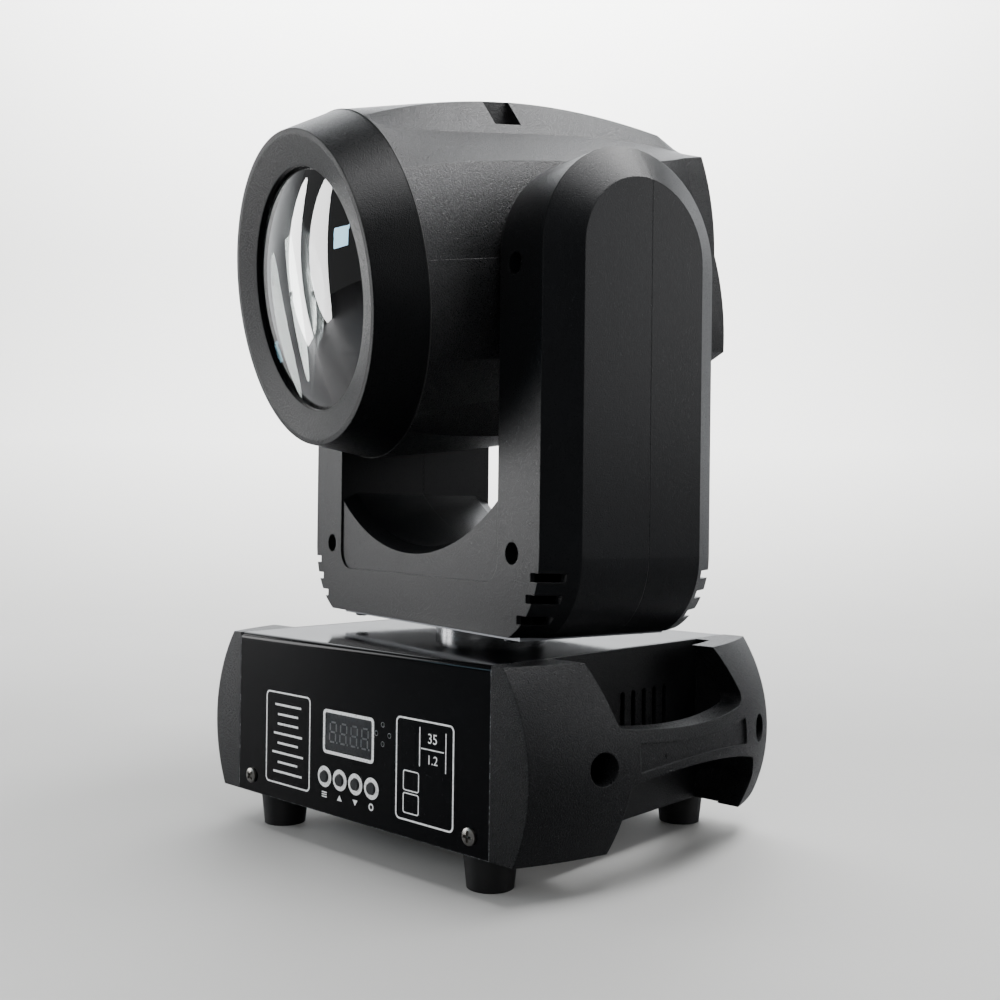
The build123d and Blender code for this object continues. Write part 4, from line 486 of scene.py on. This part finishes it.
def start_group(name, counts=(), lengths=()):
    """A Geometry Nodes tree that takes a mesh, named counts, named lengths in mm and a material."""
    tree = bpy.data.node_groups.new(name, "GeometryNodeTree")
    tree.interface.new_socket("Geometry", in_out="INPUT", socket_type="NodeSocketGeometry")
    for socket_type, inputs in (("NodeSocketInt", counts), ("NodeSocketFloat", lengths)):
        for label, start in inputs:
            made = tree.interface.new_socket(label, in_out="INPUT", socket_type=socket_type)
            made.default_value = start
    tree.interface.new_socket("Material", in_out="INPUT", socket_type="NodeSocketMaterial")
    tree.interface.new_socket("Geometry", in_out="OUTPUT", socket_type="NodeSocketGeometry")
    return tree, add_node(tree, "NodeGroupInput").outputs


def end_group(tree, laid, material):
    """Ends a tree: what was laid out is made real and given its material."""
    real = add_node(tree, "GeometryNodeRealizeInstances", None, {"Geometry": laid})
    finished = add_node(tree, "GeometryNodeSetMaterial", None,
                        {"Geometry": real.outputs["Geometry"], "Material": material})
    add_node(tree, "NodeGroupOutput", None, {"Geometry": finished.outputs["Geometry"]})
    return tree


def baked(tree, source, inputs):
    """The plain mesh that a tree makes from a source mesh; inputs are given by their names."""
    carrier = bpy.data.objects.new(tree.name + "_carrier", source)
    bpy.context.scene.collection.objects.link(carrier)
    modifier = carrier.modifiers.new("build", "NODES")
    modifier.node_group = tree
    for item in tree.interface.items_tree:
        if item.in_out == "INPUT" and item.name in inputs:
            modifier[item.identifier] = inputs[item.name]
    shown = carrier.evaluated_get(bpy.context.evaluated_depsgraph_get())
    data = bpy.data.meshes.new_from_object(shown)
    carrier.modifiers.clear()
    bpy.data.objects.remove(carrier)
    return data


def rounded_loop(x, z, width, height, corner, steps=6):
    """Points round a rectangle with rounded corners, seen from the front."""
    points = []
    for turn in range(4):
        over = 1 if turn in (0, 3) else -1
        high = 1 if turn < 2 else -1
        middle_x = x + over * (width / 2 - corner)
        middle_z = z + high * (height / 2 - corner)
        for step in range(steps + 1):
            angle = math.pi / 2 * (turn + step / steps)
            points.append((middle_x + corner * math.cos(angle),
                           middle_z + corner * math.sin(angle)))
    return points


def printed_outline(outer, inner, face_y):
    """A printed line between two loops of the same count, on a face that looks forward."""
    count = len(outer)
    points = [(px, face_y - INK_LIFT, pz) for px, pz in outer + inner]
    faces = []
    for i in range(count):
        j = (i + 1) % count
        faces.append((i, count + i, count + j, j))
    return points, faces


def printed_shape(loop, face_y, lift=INK_LIFT):
    """A filled printed shape on a face that looks forward."""
    points = [(px, face_y - lift, pz) for px, pz in loop]
    return points, [tuple(reversed(range(len(loop))))]


def circle(x, z, radius, steps=40):
    """Points round a circle, seen from the front."""
    return [(x + radius * math.cos(math.tau * i / steps),
             z + radius * math.sin(math.tau * i / steps)) for i in range(steps)]


def printed_ring(x, z, outer_radius, inner_radius, face_y):
    """A printed ring on a face that looks forward."""
    return printed_outline(circle(x, z, outer_radius), circle(x, z, inner_radius), face_y)


def bar(x, z, width, height):
    """Points round a bar whose corners are barely rounded, seen from the front."""
    return rounded_loop(x, z, width, height, min(width, height) * 0.2, 2)


# ---- Printed front panel -------------------------------------------------------------------------
PANEL_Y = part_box("base_cover")[0][1] / MM
BUTTONS = ("menu_button", "up_button", "down_button", "enter_button")
button_boxes = [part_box(name) for name in BUTTONS]
button_places = [((low[0] + high[0]) / 2 / MM, (low[2] + high[2]) / 2 / MM)
                 for low, high in button_boxes]
window_low, window_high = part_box("display_window")
WINDOW_X = (window_low[0] + window_high[0]) / 2 / MM
WINDOW_Z = (window_low[2] + window_high[2]) / 2 / MM
WINDOW_WIDTH = 38.0
WINDOW_HEIGHT = 20.4
WINDOW_BORDER = 1.7
LEFT_FRAME_X = -54.1
CELL_X = 61.6
# Frames: middle, outside width and height, corner radius and line. Rules: middle, width, height.
LARGE_FRAMES = ((LEFT_FRAME_X, 34.7, 40.2, 52.0, 3.0, 0.9),
                (55.9, 34.3, 41.2, 51.8, 3.0, 0.9),
                (WINDOW_X, WINDOW_Z, WINDOW_WIDTH + 2 * WINDOW_BORDER,
                 WINDOW_HEIGHT + 2 * WINDOW_BORDER, 2.6, WINDOW_BORDER))
CELL_RULES = ((52.6, 46.8, 0.7, 19.5), (CELL_X, 46.2, 16.0, 0.6), (70.9, 46.0, 0.6, 19.5))
SMALL_FRAMES = ((46.6, 28.6, 11.6, 10.4, 1.4, 0.6), (46.6, 17.3, 11.6, 10.4, 1.4, 0.6))
BUTTON_RING = (5.65, 3.35)
MARK_DROP = 9.6
MENU_BAR = (4.2, 0.6)
MENU_BAR_LIFTS = (-1.2, 0.0, 1.2)
ARROW_HALF_WIDTH = 2
ARROW_BASE = 1.4
ARROW_TIP = 1.6
ENTER_RING = (1.9, 1.1)


def frame_line(x, z, width, height, corner, line):
    """A printed frame whose outside is width by height."""
    outer = rounded_loop(x, z, width, height, corner)
    inner = rounded_loop(x, z, width - 2 * line, height - 2 * line, corner - line * 0.8)
    return printed_outline(outer, inner, PANEL_Y)


def button_marks():
    """A ring round each button, and a plain mark under it: bars, up, down and a small ring."""
    parts = []
    for x, z in button_places:
        parts.append(printed_ring(x, z, *BUTTON_RING, PANEL_Y))
    (menu_x, z), (up_x, _), (down_x, _), (enter_x, _) = button_places
    under = z - MARK_DROP
    for lift in MENU_BAR_LIFTS:
        parts.append(printed_shape(bar(menu_x, under + lift, *MENU_BAR), PANEL_Y))
    for x, way in ((up_x, 1), (down_x, -1)):
        arrow = [(x + ARROW_HALF_WIDTH * way, under - ARROW_BASE * way),
                 (x, under + ARROW_TIP * way),
                 (x - ARROW_HALF_WIDTH * way, under - ARROW_BASE * way)]
        parts.append(printed_shape(arrow, PANEL_Y))
    parts.append(printed_ring(enter_x, under, *ENTER_RING, PANEL_Y))
    return parts


def panel_frames():
    """The two side frames, the border round the display, and the right frame's rules and cells."""
    parts = [frame_line(*sizes) for sizes in LARGE_FRAMES]
    parts += [printed_shape(bar(*sizes), PANEL_Y) for sizes in CELL_RULES]
    parts += [frame_line(*sizes) for sizes in SMALL_FRAMES]
    return parts


def ruled_lines_tree():
    """Short printed rules of uneven length, one under another."""
    tree, given = start_group(
        "ruled_lines", [("Rows", 8)],
        [("Pitch", 5.4), ("Shortest", 16.0), ("Longest", 30.0), ("Thickness", 1.2)])
    step = add_node(tree, "ShaderNodeCombineXYZ", None, {"Z": given["Pitch"]})
    rows = add_node(tree, "GeometryNodeMeshLine", None,
                    {"Count": given["Rows"], "Offset": step.outputs["Vector"]})
    plate = add_node(tree, "GeometryNodeMeshGrid", None,
                     {"Size X": 1.0, "Size Y": given["Thickness"], "Vertices X": 2,
                      "Vertices Y": 2})
    stand = add_node(tree, "GeometryNodeTransform", None,
                     {"Geometry": plate.outputs["Mesh"], "Rotation": (math.pi / 2, 0, 0)})
    reach = add_node(tree, "FunctionNodeRandomValue", {"data_type": "FLOAT"},
                     {2: given["Shortest"], 3: given["Longest"], "Seed": 4})
    size = add_node(tree, "ShaderNodeCombineXYZ", None, {"X": reach.outputs[1], "Y": 1.0, "Z": 1.0})
    laid = add_node(tree, "GeometryNodeInstanceOnPoints", None,
                    {"Points": rows.outputs["Mesh"], "Instance": stand.outputs["Geometry"],
                     "Scale": size.outputs["Vector"]})
    return end_group(tree, laid.outputs["Instances"], given["Material"])


LOWEST_RULE_Z = 15.6


def build_panel_print():
    """All the white printing on the front panel, and the rules in its left frame."""
    marks = mesh_from("panel_print", panel_frames() + button_marks())
    finish_piece("panel_print", marks, base_place, "base", print_ink)
    rules = baked(ruled_lines_tree(), bpy.data.meshes.new("rules_seed"), {"Material": print_ink})
    rules.transform(Matrix.Translation((LEFT_FRAME_X, PANEL_Y - INK_LIFT, LOWEST_RULE_Z)))
    finish_piece("panel_rules", rules, base_place, "base")


build_panel_print()


# ---- Display -------------------------------------------------------------------------------------
DIGIT_WIDTH = 5.0
DIGIT_HEIGHT = 10.6
SEGMENT = 0.95
ACROSS_GAP = 1.4
UPRIGHT_GAP = 1.3
DIGIT_LEAN = 0.1
POINT_SIZE = 1.0
POINT_GAP = 1.4
DIGITS = 4
DIGIT_PITCH = 8.6
WINDOW_FACE_Y = PANEL_Y + 0.5
FILTER_DEPTH = 0.4
DIGIT_DEPTH = 0.2


def digit_segments():
    """The seven bars of one digit and its point, centred on the digit, leaning a little."""
    middle, side = DIGIT_HEIGHT / 4, DIGIT_WIDTH / 2
    foot = -DIGIT_HEIGHT / 2
    parts = []
    for z in (foot, 0.0, -foot):
        parts.append((DIGIT_LEAN * z, z, DIGIT_WIDTH - ACROSS_GAP, SEGMENT))
    for x, z in product((-side, side), (-middle, middle)):
        parts.append((x + DIGIT_LEAN * z, z, SEGMENT, DIGIT_HEIGHT / 2 - UPRIGHT_GAP))
    parts.append((side + POINT_GAP + DIGIT_LEAN * foot, foot, POINT_SIZE, POINT_SIZE))
    return [printed_shape(bar(*part), 0.0, 0.0) for part in parts]


def digit_row_tree():
    """A row of digits from one digit's mesh."""
    tree, given = start_group("digit_row", [("Digits", DIGITS)], [("Pitch", DIGIT_PITCH)])
    step = add_node(tree, "ShaderNodeCombineXYZ", None, {"X": given["Pitch"]})
    row = add_node(tree, "GeometryNodeMeshLine", None,
                   {"Count": given["Digits"], "Offset": step.outputs["Vector"]})
    laid = add_node(tree, "GeometryNodeInstanceOnPoints", None,
                    {"Points": row.outputs["Mesh"], "Instance": given["Geometry"]})
    return end_group(tree, laid.outputs["Instances"], given["Material"])


def build_display():
    """A grey filter and four unlit digits, just behind the window's front face."""
    loop = rounded_loop(WINDOW_X, WINDOW_Z, WINDOW_WIDTH - 1.0, WINDOW_HEIGHT - 1.0, 1.0)
    back = mesh_from("display_filter", [printed_shape(loop, WINDOW_FACE_Y + FILTER_DEPTH, 0.0)])
    finish_piece("display_filter", back, base_place, "base", display_filter)
    digits = baked(digit_row_tree(), mesh_from("one_digit", digit_segments()),
                   {"Material": segment_ink})
    first_x = WINDOW_X - (DIGITS - 1) / 2 * DIGIT_PITCH
    digits.transform(Matrix.Translation((first_x, WINDOW_FACE_Y + DIGIT_DEPTH, WINDOW_Z)))
    finish_piece("display_digits", digits, base_place, "base")


build_display()


# ---- Screws --------------------------------------------------------------------------------------
def crossed_head(tree, given):
    """One screw's head: a disc rounded off by a dome, with a cross sunk into its top."""
    dome_r = add_node(tree, "ShaderNodeMath", {"operation": "MULTIPLY"},
                      {0: given["Head Radius"], 1: 2.6})
    dome = add_node(tree, "GeometryNodeMeshUVSphere", None,
                    {"Segments": 32, "Rings": 48, "Radius": dome_r.outputs["Value"]})
    dome_drop = add_node(tree, "ShaderNodeMath", {"operation": "SUBTRACT"},
                         {0: given["Head Height"], 1: dome_r.outputs["Value"]})
    dome_at = add_node(tree, "ShaderNodeCombineXYZ", None, {"Z": dome_drop.outputs["Value"]})
    domed = add_node(tree, "GeometryNodeTransform", None,
                     {"Geometry": dome.outputs["Mesh"], "Translation": dome_at.outputs["Vector"]})
    body = add_node(tree, "GeometryNodeMeshCylinder", None,
                    {"Vertices": 32, "Radius": given["Head Radius"], "Depth": given["Head Height"]})
    half = add_node(tree, "ShaderNodeMath", {"operation": "MULTIPLY"},
                    {0: given["Head Height"], 1: 0.5})
    body_at = add_node(tree, "ShaderNodeCombineXYZ", None, {"Z": half.outputs["Value"]})
    seated = add_node(tree, "GeometryNodeTransform", None,
                      {"Geometry": body.outputs["Mesh"], "Translation": body_at.outputs["Vector"]})
    head = add_node(tree, "GeometryNodeMeshBoolean", {"operation": "INTERSECT"})
    tree.links.new(seated.outputs["Geometry"], head.inputs[1])
    tree.links.new(domed.outputs["Geometry"], head.inputs[1])
    top_at = add_node(tree, "ShaderNodeCombineXYZ", None, {"Z": given["Head Height"]})
    sunk = add_node(tree, "ShaderNodeMath", {"operation": "MULTIPLY"},
                    {0: given["Cross Depth"], 1: 2.0})
    reach = add_node(tree, "ShaderNodeMath", {"operation": "MULTIPLY"},
                     {0: given["Cross Reach"], 1: 2.0})
    cut = add_node(tree, "GeometryNodeMeshBoolean", {"operation": "DIFFERENCE"},
                   {0: head.outputs["Mesh"]})
    for turn in (0, 1):
        sides = (reach.outputs["Value"], given["Cross Width"])
        arm_size = add_node(tree, "ShaderNodeCombineXYZ", None,
                            {"X": sides[turn], "Y": sides[1 - turn], "Z": sunk.outputs["Value"]})
        arm = add_node(tree, "GeometryNodeMeshCube", None, {"Size": arm_size.outputs["Vector"]})
        arm_sunk = add_node(tree, "GeometryNodeTransform", None,
                            {"Geometry": arm.outputs["Mesh"],
                             "Translation": top_at.outputs["Vector"]})
        tree.links.new(arm_sunk.outputs["Geometry"], cut.inputs[1])
    return cut.outputs["Mesh"]


def pan_head_screws_tree():
    """Cross-recessed pan-head screws, each with its shank. Each point carries the direction that
    its head faces and the length of its shank."""
    tree, given = start_group(
        "pan_head_screws", (),
        [("Head Radius", 4.2), ("Head Height", 2.0), ("Shank Radius", 1.5),
         ("Cross Width", 1.5), ("Cross Reach", 2.9), ("Cross Depth", 1.7)])
    head = crossed_head(tree, given)
    facing = add_node(tree, "GeometryNodeInputNamedAttribute", {"data_type": "FLOAT_VECTOR"},
                      {"Name": "facing"})
    aimed = add_node(tree, "FunctionNodeAlignEulerToVector", {"axis": "Z"},
                     {"Vector": facing.outputs["Attribute"]})
    spin = add_node(tree, "FunctionNodeRandomValue", {"data_type": "FLOAT"},
                    {2: 0.0, 3: 1.57, "Seed": 9})
    about = add_node(tree, "ShaderNodeCombineXYZ", None, {"Z": spin.outputs[1]})
    turned = add_node(tree, "FunctionNodeRotateEuler", {"rotation_type": "EULER", "space": "LOCAL"},
                      {"Rotation": aimed.outputs["Rotation"], "Rotate By": about.outputs["Vector"]})
    heads = add_node(tree, "GeometryNodeInstanceOnPoints", None,
                     {"Points": given["Geometry"], "Instance": head,
                      "Rotation": turned.outputs["Rotation"]})
    rod = add_node(tree, "GeometryNodeMeshCylinder", None,
                   {"Vertices": 16, "Radius": given["Shank Radius"], "Depth": 1.0})
    rod_down = add_node(tree, "GeometryNodeTransform", None,
                        {"Geometry": rod.outputs["Mesh"], "Translation": (0, 0, -0.5)})
    shank = add_node(tree, "GeometryNodeInputNamedAttribute", {"data_type": "FLOAT"},
                     {"Name": "shank"})
    rod_size = add_node(tree, "ShaderNodeCombineXYZ", None,
                        {"X": 1.0, "Y": 1.0, "Z": shank.outputs["Attribute"]})
    rods = add_node(tree, "GeometryNodeInstanceOnPoints", None,
                    {"Points": given["Geometry"], "Instance": rod_down.outputs["Geometry"],
                     "Rotation": turned.outputs["Rotation"], "Scale": rod_size.outputs["Vector"]})
    both = add_node(tree, "GeometryNodeJoinGeometry")
    tree.links.new(heads.outputs["Instances"], both.inputs[0])
    tree.links.new(rods.outputs["Instances"], both.inputs[0])
    return end_group(tree, both.outputs["Geometry"], given["Material"])


def seats_mesh(seats):
    """Points that carry a facing direction and a shank length. A seat gives all three."""
    data = bpy.data.meshes.new("seats")
    data.from_pydata([point for point, _, _ in seats], [], [])
    data.attributes.new("facing", "FLOAT_VECTOR", "POINT")
    data.attributes.new("shank", "FLOAT", "POINT")
    for i, (_, direction, length) in enumerate(seats):
        data.attributes["facing"].data[i].vector = direction
        data.attributes["shank"].data[i].value = length
    return data


screws_tree = pan_head_screws_tree()
BASE_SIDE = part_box("base_cover")[1][0] / MM
YOKE_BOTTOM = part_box("yoke_front_cover")[0][2] / MM
# Half the spacing of each pattern of screws, in mm, and how far in, up or down it lies.
PANEL_SCREW_XZ = (87.4, 9.4)
CAP_BOLT_SEAT = 6.0
CAP_BOLTS_Y = (-66.0, 81.0)
CAP_BOLTS_Z = 43.0
FOOT_SCREW_XYZ = (82.5, 84.0, -6.0)
COVER_SCREW_XY = (101.8, 49.4)
COVER_SCREW_RISES = (42.0, 186.0)
TURNTABLE_SCREW_XY = (84.0, 43.0)
TURNTABLE_DROP = 2.5
GRILLE_SCREW_XYZ = (51.0, 125.0, 44.0)
PANEL_SHANK = 8.0
CAP_SHANK = 14.0
FOOT_SHANK = 7.5
COVER_SHANK = 29.9
TURNTABLE_SHANK = 8.0
GRILLE_SHANK = 5.0
BOTH = (-1, 1)


def build_screws(name, seats, place, body, material):
    """The screws of one body, in place of the plain ones."""
    data = baked(screws_tree, seats_mesh(seats), {"Material": material})
    return finish_piece(name, data, place, body)


def panel_seats():
    """Front and rear panel screws."""
    x, z = PANEL_SCREW_XZ
    return [((side * x, end * -PANEL_Y, z), (0, end, 0), PANEL_SHANK)
            for side, end in product(BOTH, BOTH)]


def cap_and_foot_seats():
    """The caps' bolts deep in their bores, and the feet's screws."""
    seats = []
    for side, y in product(BOTH, CAP_BOLTS_Y):
        x = side * (BASE_SIDE + CAP_BOLT_SEAT)
        seats.append(((x, y, CAP_BOLTS_Z), (side, 0, 0), CAP_SHANK))
    x, y, z = FOOT_SCREW_XYZ
    for side, end in product(BOTH, BOTH):
        seats.append(((side * x, end * y, z), (0, 0, -1), FOOT_SHANK))
    return seats


def yoke_seats():
    """The cover screws in their bores, and the turntable's screws under the yoke."""
    seats = []
    x, y = COVER_SCREW_XY
    for end, side, rise in product(BOTH, BOTH, COVER_SCREW_RISES):
        seats.append(((side * x, end * y, YOKE_BOTTOM + rise), (0, end, 0), COVER_SHANK))
    x, y = TURNTABLE_SCREW_XY
    z = YOKE_BOTTOM - TURNTABLE_DROP
    for side, end in product(BOTH, BOTH):
        seats.append(((side * x, end * y, z), (0, 0, -1), TURNTABLE_SHANK))
    return seats


def head_seats():
    """The rear grille's four screws."""
    x, y, z = GRILLE_SCREW_XYZ
    return [((side * x, y, up * z), (0, 1, 0), GRILLE_SHANK) for side, up in product(BOTH, BOTH)]


case_piece = build_screws("case_screws_cross_head", panel_seats(), base_place, "base",
                          screws_bright)
build_screws("cap_and_foot_screws", cap_and_foot_seats(), base_place, "base", screws_black)
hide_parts("case_screws")
yoke_piece = build_screws("yoke_screws_cross_head", yoke_seats(), yoke_place, "yoke", screws_black)
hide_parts("yoke_screws")
head_piece = build_screws("head_screws_cross_head", head_seats(), head_place, "head", screws_black)
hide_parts("head_screws")


# ---- Small trim ----------------------------------------------------------------------------------
MICROPHONE = (25.2, 48.9)
MICROPHONE_PITCH_RADIUS = 5.0
GATE_MARK = (-24.0, 44.6)
FAR_OUTSIDE = 200.0
RIM_SHANK = 1.0
NUMBERS = (("35", 51.4, 7.0), ("1.2", 41.0, 6.4))
# The bezel's rear edge is an ellipse; the line lies half sunk in the joint behind it.
SEAM_HALF_WIDTH = 84.45
SEAM_HALF_HEIGHT = 93.95
SEAM_Y = -98.3
SEAM_RADIUS = 0.35
SEAM_STEPS = 128
SEAM_SIDES = 6


def surface_point(node, start, direction):
    """Where a straight line from start first meets a CAD node, in millimetres."""
    found, place, _, _ = frame["nodes"][node].ray_cast(Vector(start) * MM, Vector(direction))
    return place / MM if found else None


def rim_rings_tree():
    """Thin turned rings, each lying on its point and facing the way that the point says."""
    tree, given = start_group("rim_rings", (), [("Ring Radius", 1.5), ("Wire Radius", 0.2)])
    path = add_node(tree, "GeometryNodeCurvePrimitiveCircle", None,
                    {"Resolution": 32, "Radius": given["Ring Radius"]})
    section = add_node(tree, "GeometryNodeCurvePrimitiveCircle", None,
                       {"Resolution": 8, "Radius": given["Wire Radius"]})
    ring = add_node(tree, "GeometryNodeCurveToMesh", None,
                    {"Curve": path.outputs["Curve"], "Profile Curve": section.outputs["Curve"]})
    smooth = add_node(tree, "GeometryNodeSetShadeSmooth", None, {"Geometry": ring.outputs["Mesh"]})
    facing = add_node(tree, "GeometryNodeInputNamedAttribute", {"data_type": "FLOAT_VECTOR"},
                      {"Name": "facing"})
    aimed = add_node(tree, "FunctionNodeAlignEulerToVector", {"axis": "Z"},
                     {"Vector": facing.outputs["Attribute"]})
    laid = add_node(tree, "GeometryNodeInstanceOnPoints", None,
                    {"Points": given["Geometry"], "Instance": smooth.outputs["Geometry"],
                     "Rotation": aimed.outputs["Rotation"]})
    return end_group(tree, laid.outputs["Instances"], given["Material"])


rings_tree = rim_rings_tree()


def build_microphone_rims():
    """The bright burr round each punched microphone hole."""
    middle_x, middle_z = MICROPHONE
    seats = []
    for turn in range(4):
        angle = math.pi / 2 * turn
        x = middle_x + MICROPHONE_PITCH_RADIUS * math.cos(angle)
        z = middle_z + MICROPHONE_PITCH_RADIUS * math.sin(angle)
        seats.append(((x, PANEL_Y, z), (0, -1, 0), RIM_SHANK))
    rims = baked(rings_tree, seats_mesh(seats),
                 {"Ring Radius": 1.2, "Wire Radius": 0.14, "Material": finishes["drive_aluminium"]})
    finish_piece("microphone_rims", rims, base_place, "base")


def build_gate_marks():
    """The moulded gate mark let into each handle bar."""
    y, z = GATE_MARK
    seats = []
    for side, cap in ((-1, "left_end_cap"), (1, "right_end_cap")):
        spot = surface_point(cap, (side * FAR_OUTSIDE, y, z), (-side, 0, 0))
        seats.append((tuple(spot), (side, 0, 0), RIM_SHANK))
    marks = baked(rings_tree, seats_mesh(seats),
                  {"Ring Radius": 1.2, "Wire Radius": 0.25, "Material": finishes["cap_plastic"]})
    finish_piece("handle_gate_marks", marks, base_place, "base")


def printed_number(figures, x, z, size):
    """A printed plain number, as (points, faces), centred on its place."""
    face = bpy.data.curves.new(figures, "FONT")
    face.body = figures
    face.size = size
    face.align_x = "CENTER"
    face.align_y = "CENTER"
    carrier = bpy.data.objects.new(figures, face)
    bpy.context.scene.collection.objects.link(carrier)
    shown = carrier.evaluated_get(bpy.context.evaluated_depsgraph_get())
    data = bpy.data.meshes.new_from_object(shown)
    bpy.data.objects.remove(carrier)
    points = [(x + v.co.x, PANEL_Y - INK_LIFT, z + v.co.y) for v in data.vertices]
    return points, [tuple(polygon.vertices) for polygon in data.polygons]


def build_panel_numbers():
    """Two plain numbers in the right frame's cells."""
    parts = [printed_number(figures, CELL_X, z, size) for figures, z, size in NUMBERS]
    finish_piece("panel_numbers", mesh_from("panel_numbers", parts), base_place, "base",
                 print_ink)


def build_head_seam_shade():
    """The parting line between the front bezel and the head's covers, drawn as a dark bead: painted shade standing
    in for the shade in the narrow gap.
    """
    points, faces = [], []
    for step in range(SEAM_STEPS):
        angle = math.tau * step / SEAM_STEPS
        for side in range(SEAM_SIDES):
            roll = math.tau * side / SEAM_SIDES
            reach = SEAM_RADIUS * math.cos(roll)
            points.append(((SEAM_HALF_WIDTH + reach) * math.cos(angle),
                           SEAM_Y + SEAM_RADIUS * math.sin(roll),
                           (SEAM_HALF_HEIGHT + reach) * math.sin(angle)))
    for i, side in product(range(SEAM_STEPS), range(SEAM_SIDES)):
        here = SEAM_SIDES * i
        ahead = SEAM_SIDES * ((i + 1) % SEAM_STEPS)
        beside = (side + 1) % SEAM_SIDES
        faces.append((here + side, ahead + side, ahead + beside, here + beside))
    seam = mesh_from("head_parting_line_painted_shade", [(points, faces)])
    # The bead takes the belts' dark rubber finish as painted shade for the joint.
    finish_piece("head_parting_line_painted_shade", seam, head_place, "head",
                 finishes["belt_rubber"])


build_microphone_rims()
build_gate_marks()
build_panel_numbers()
build_head_seam_shade()
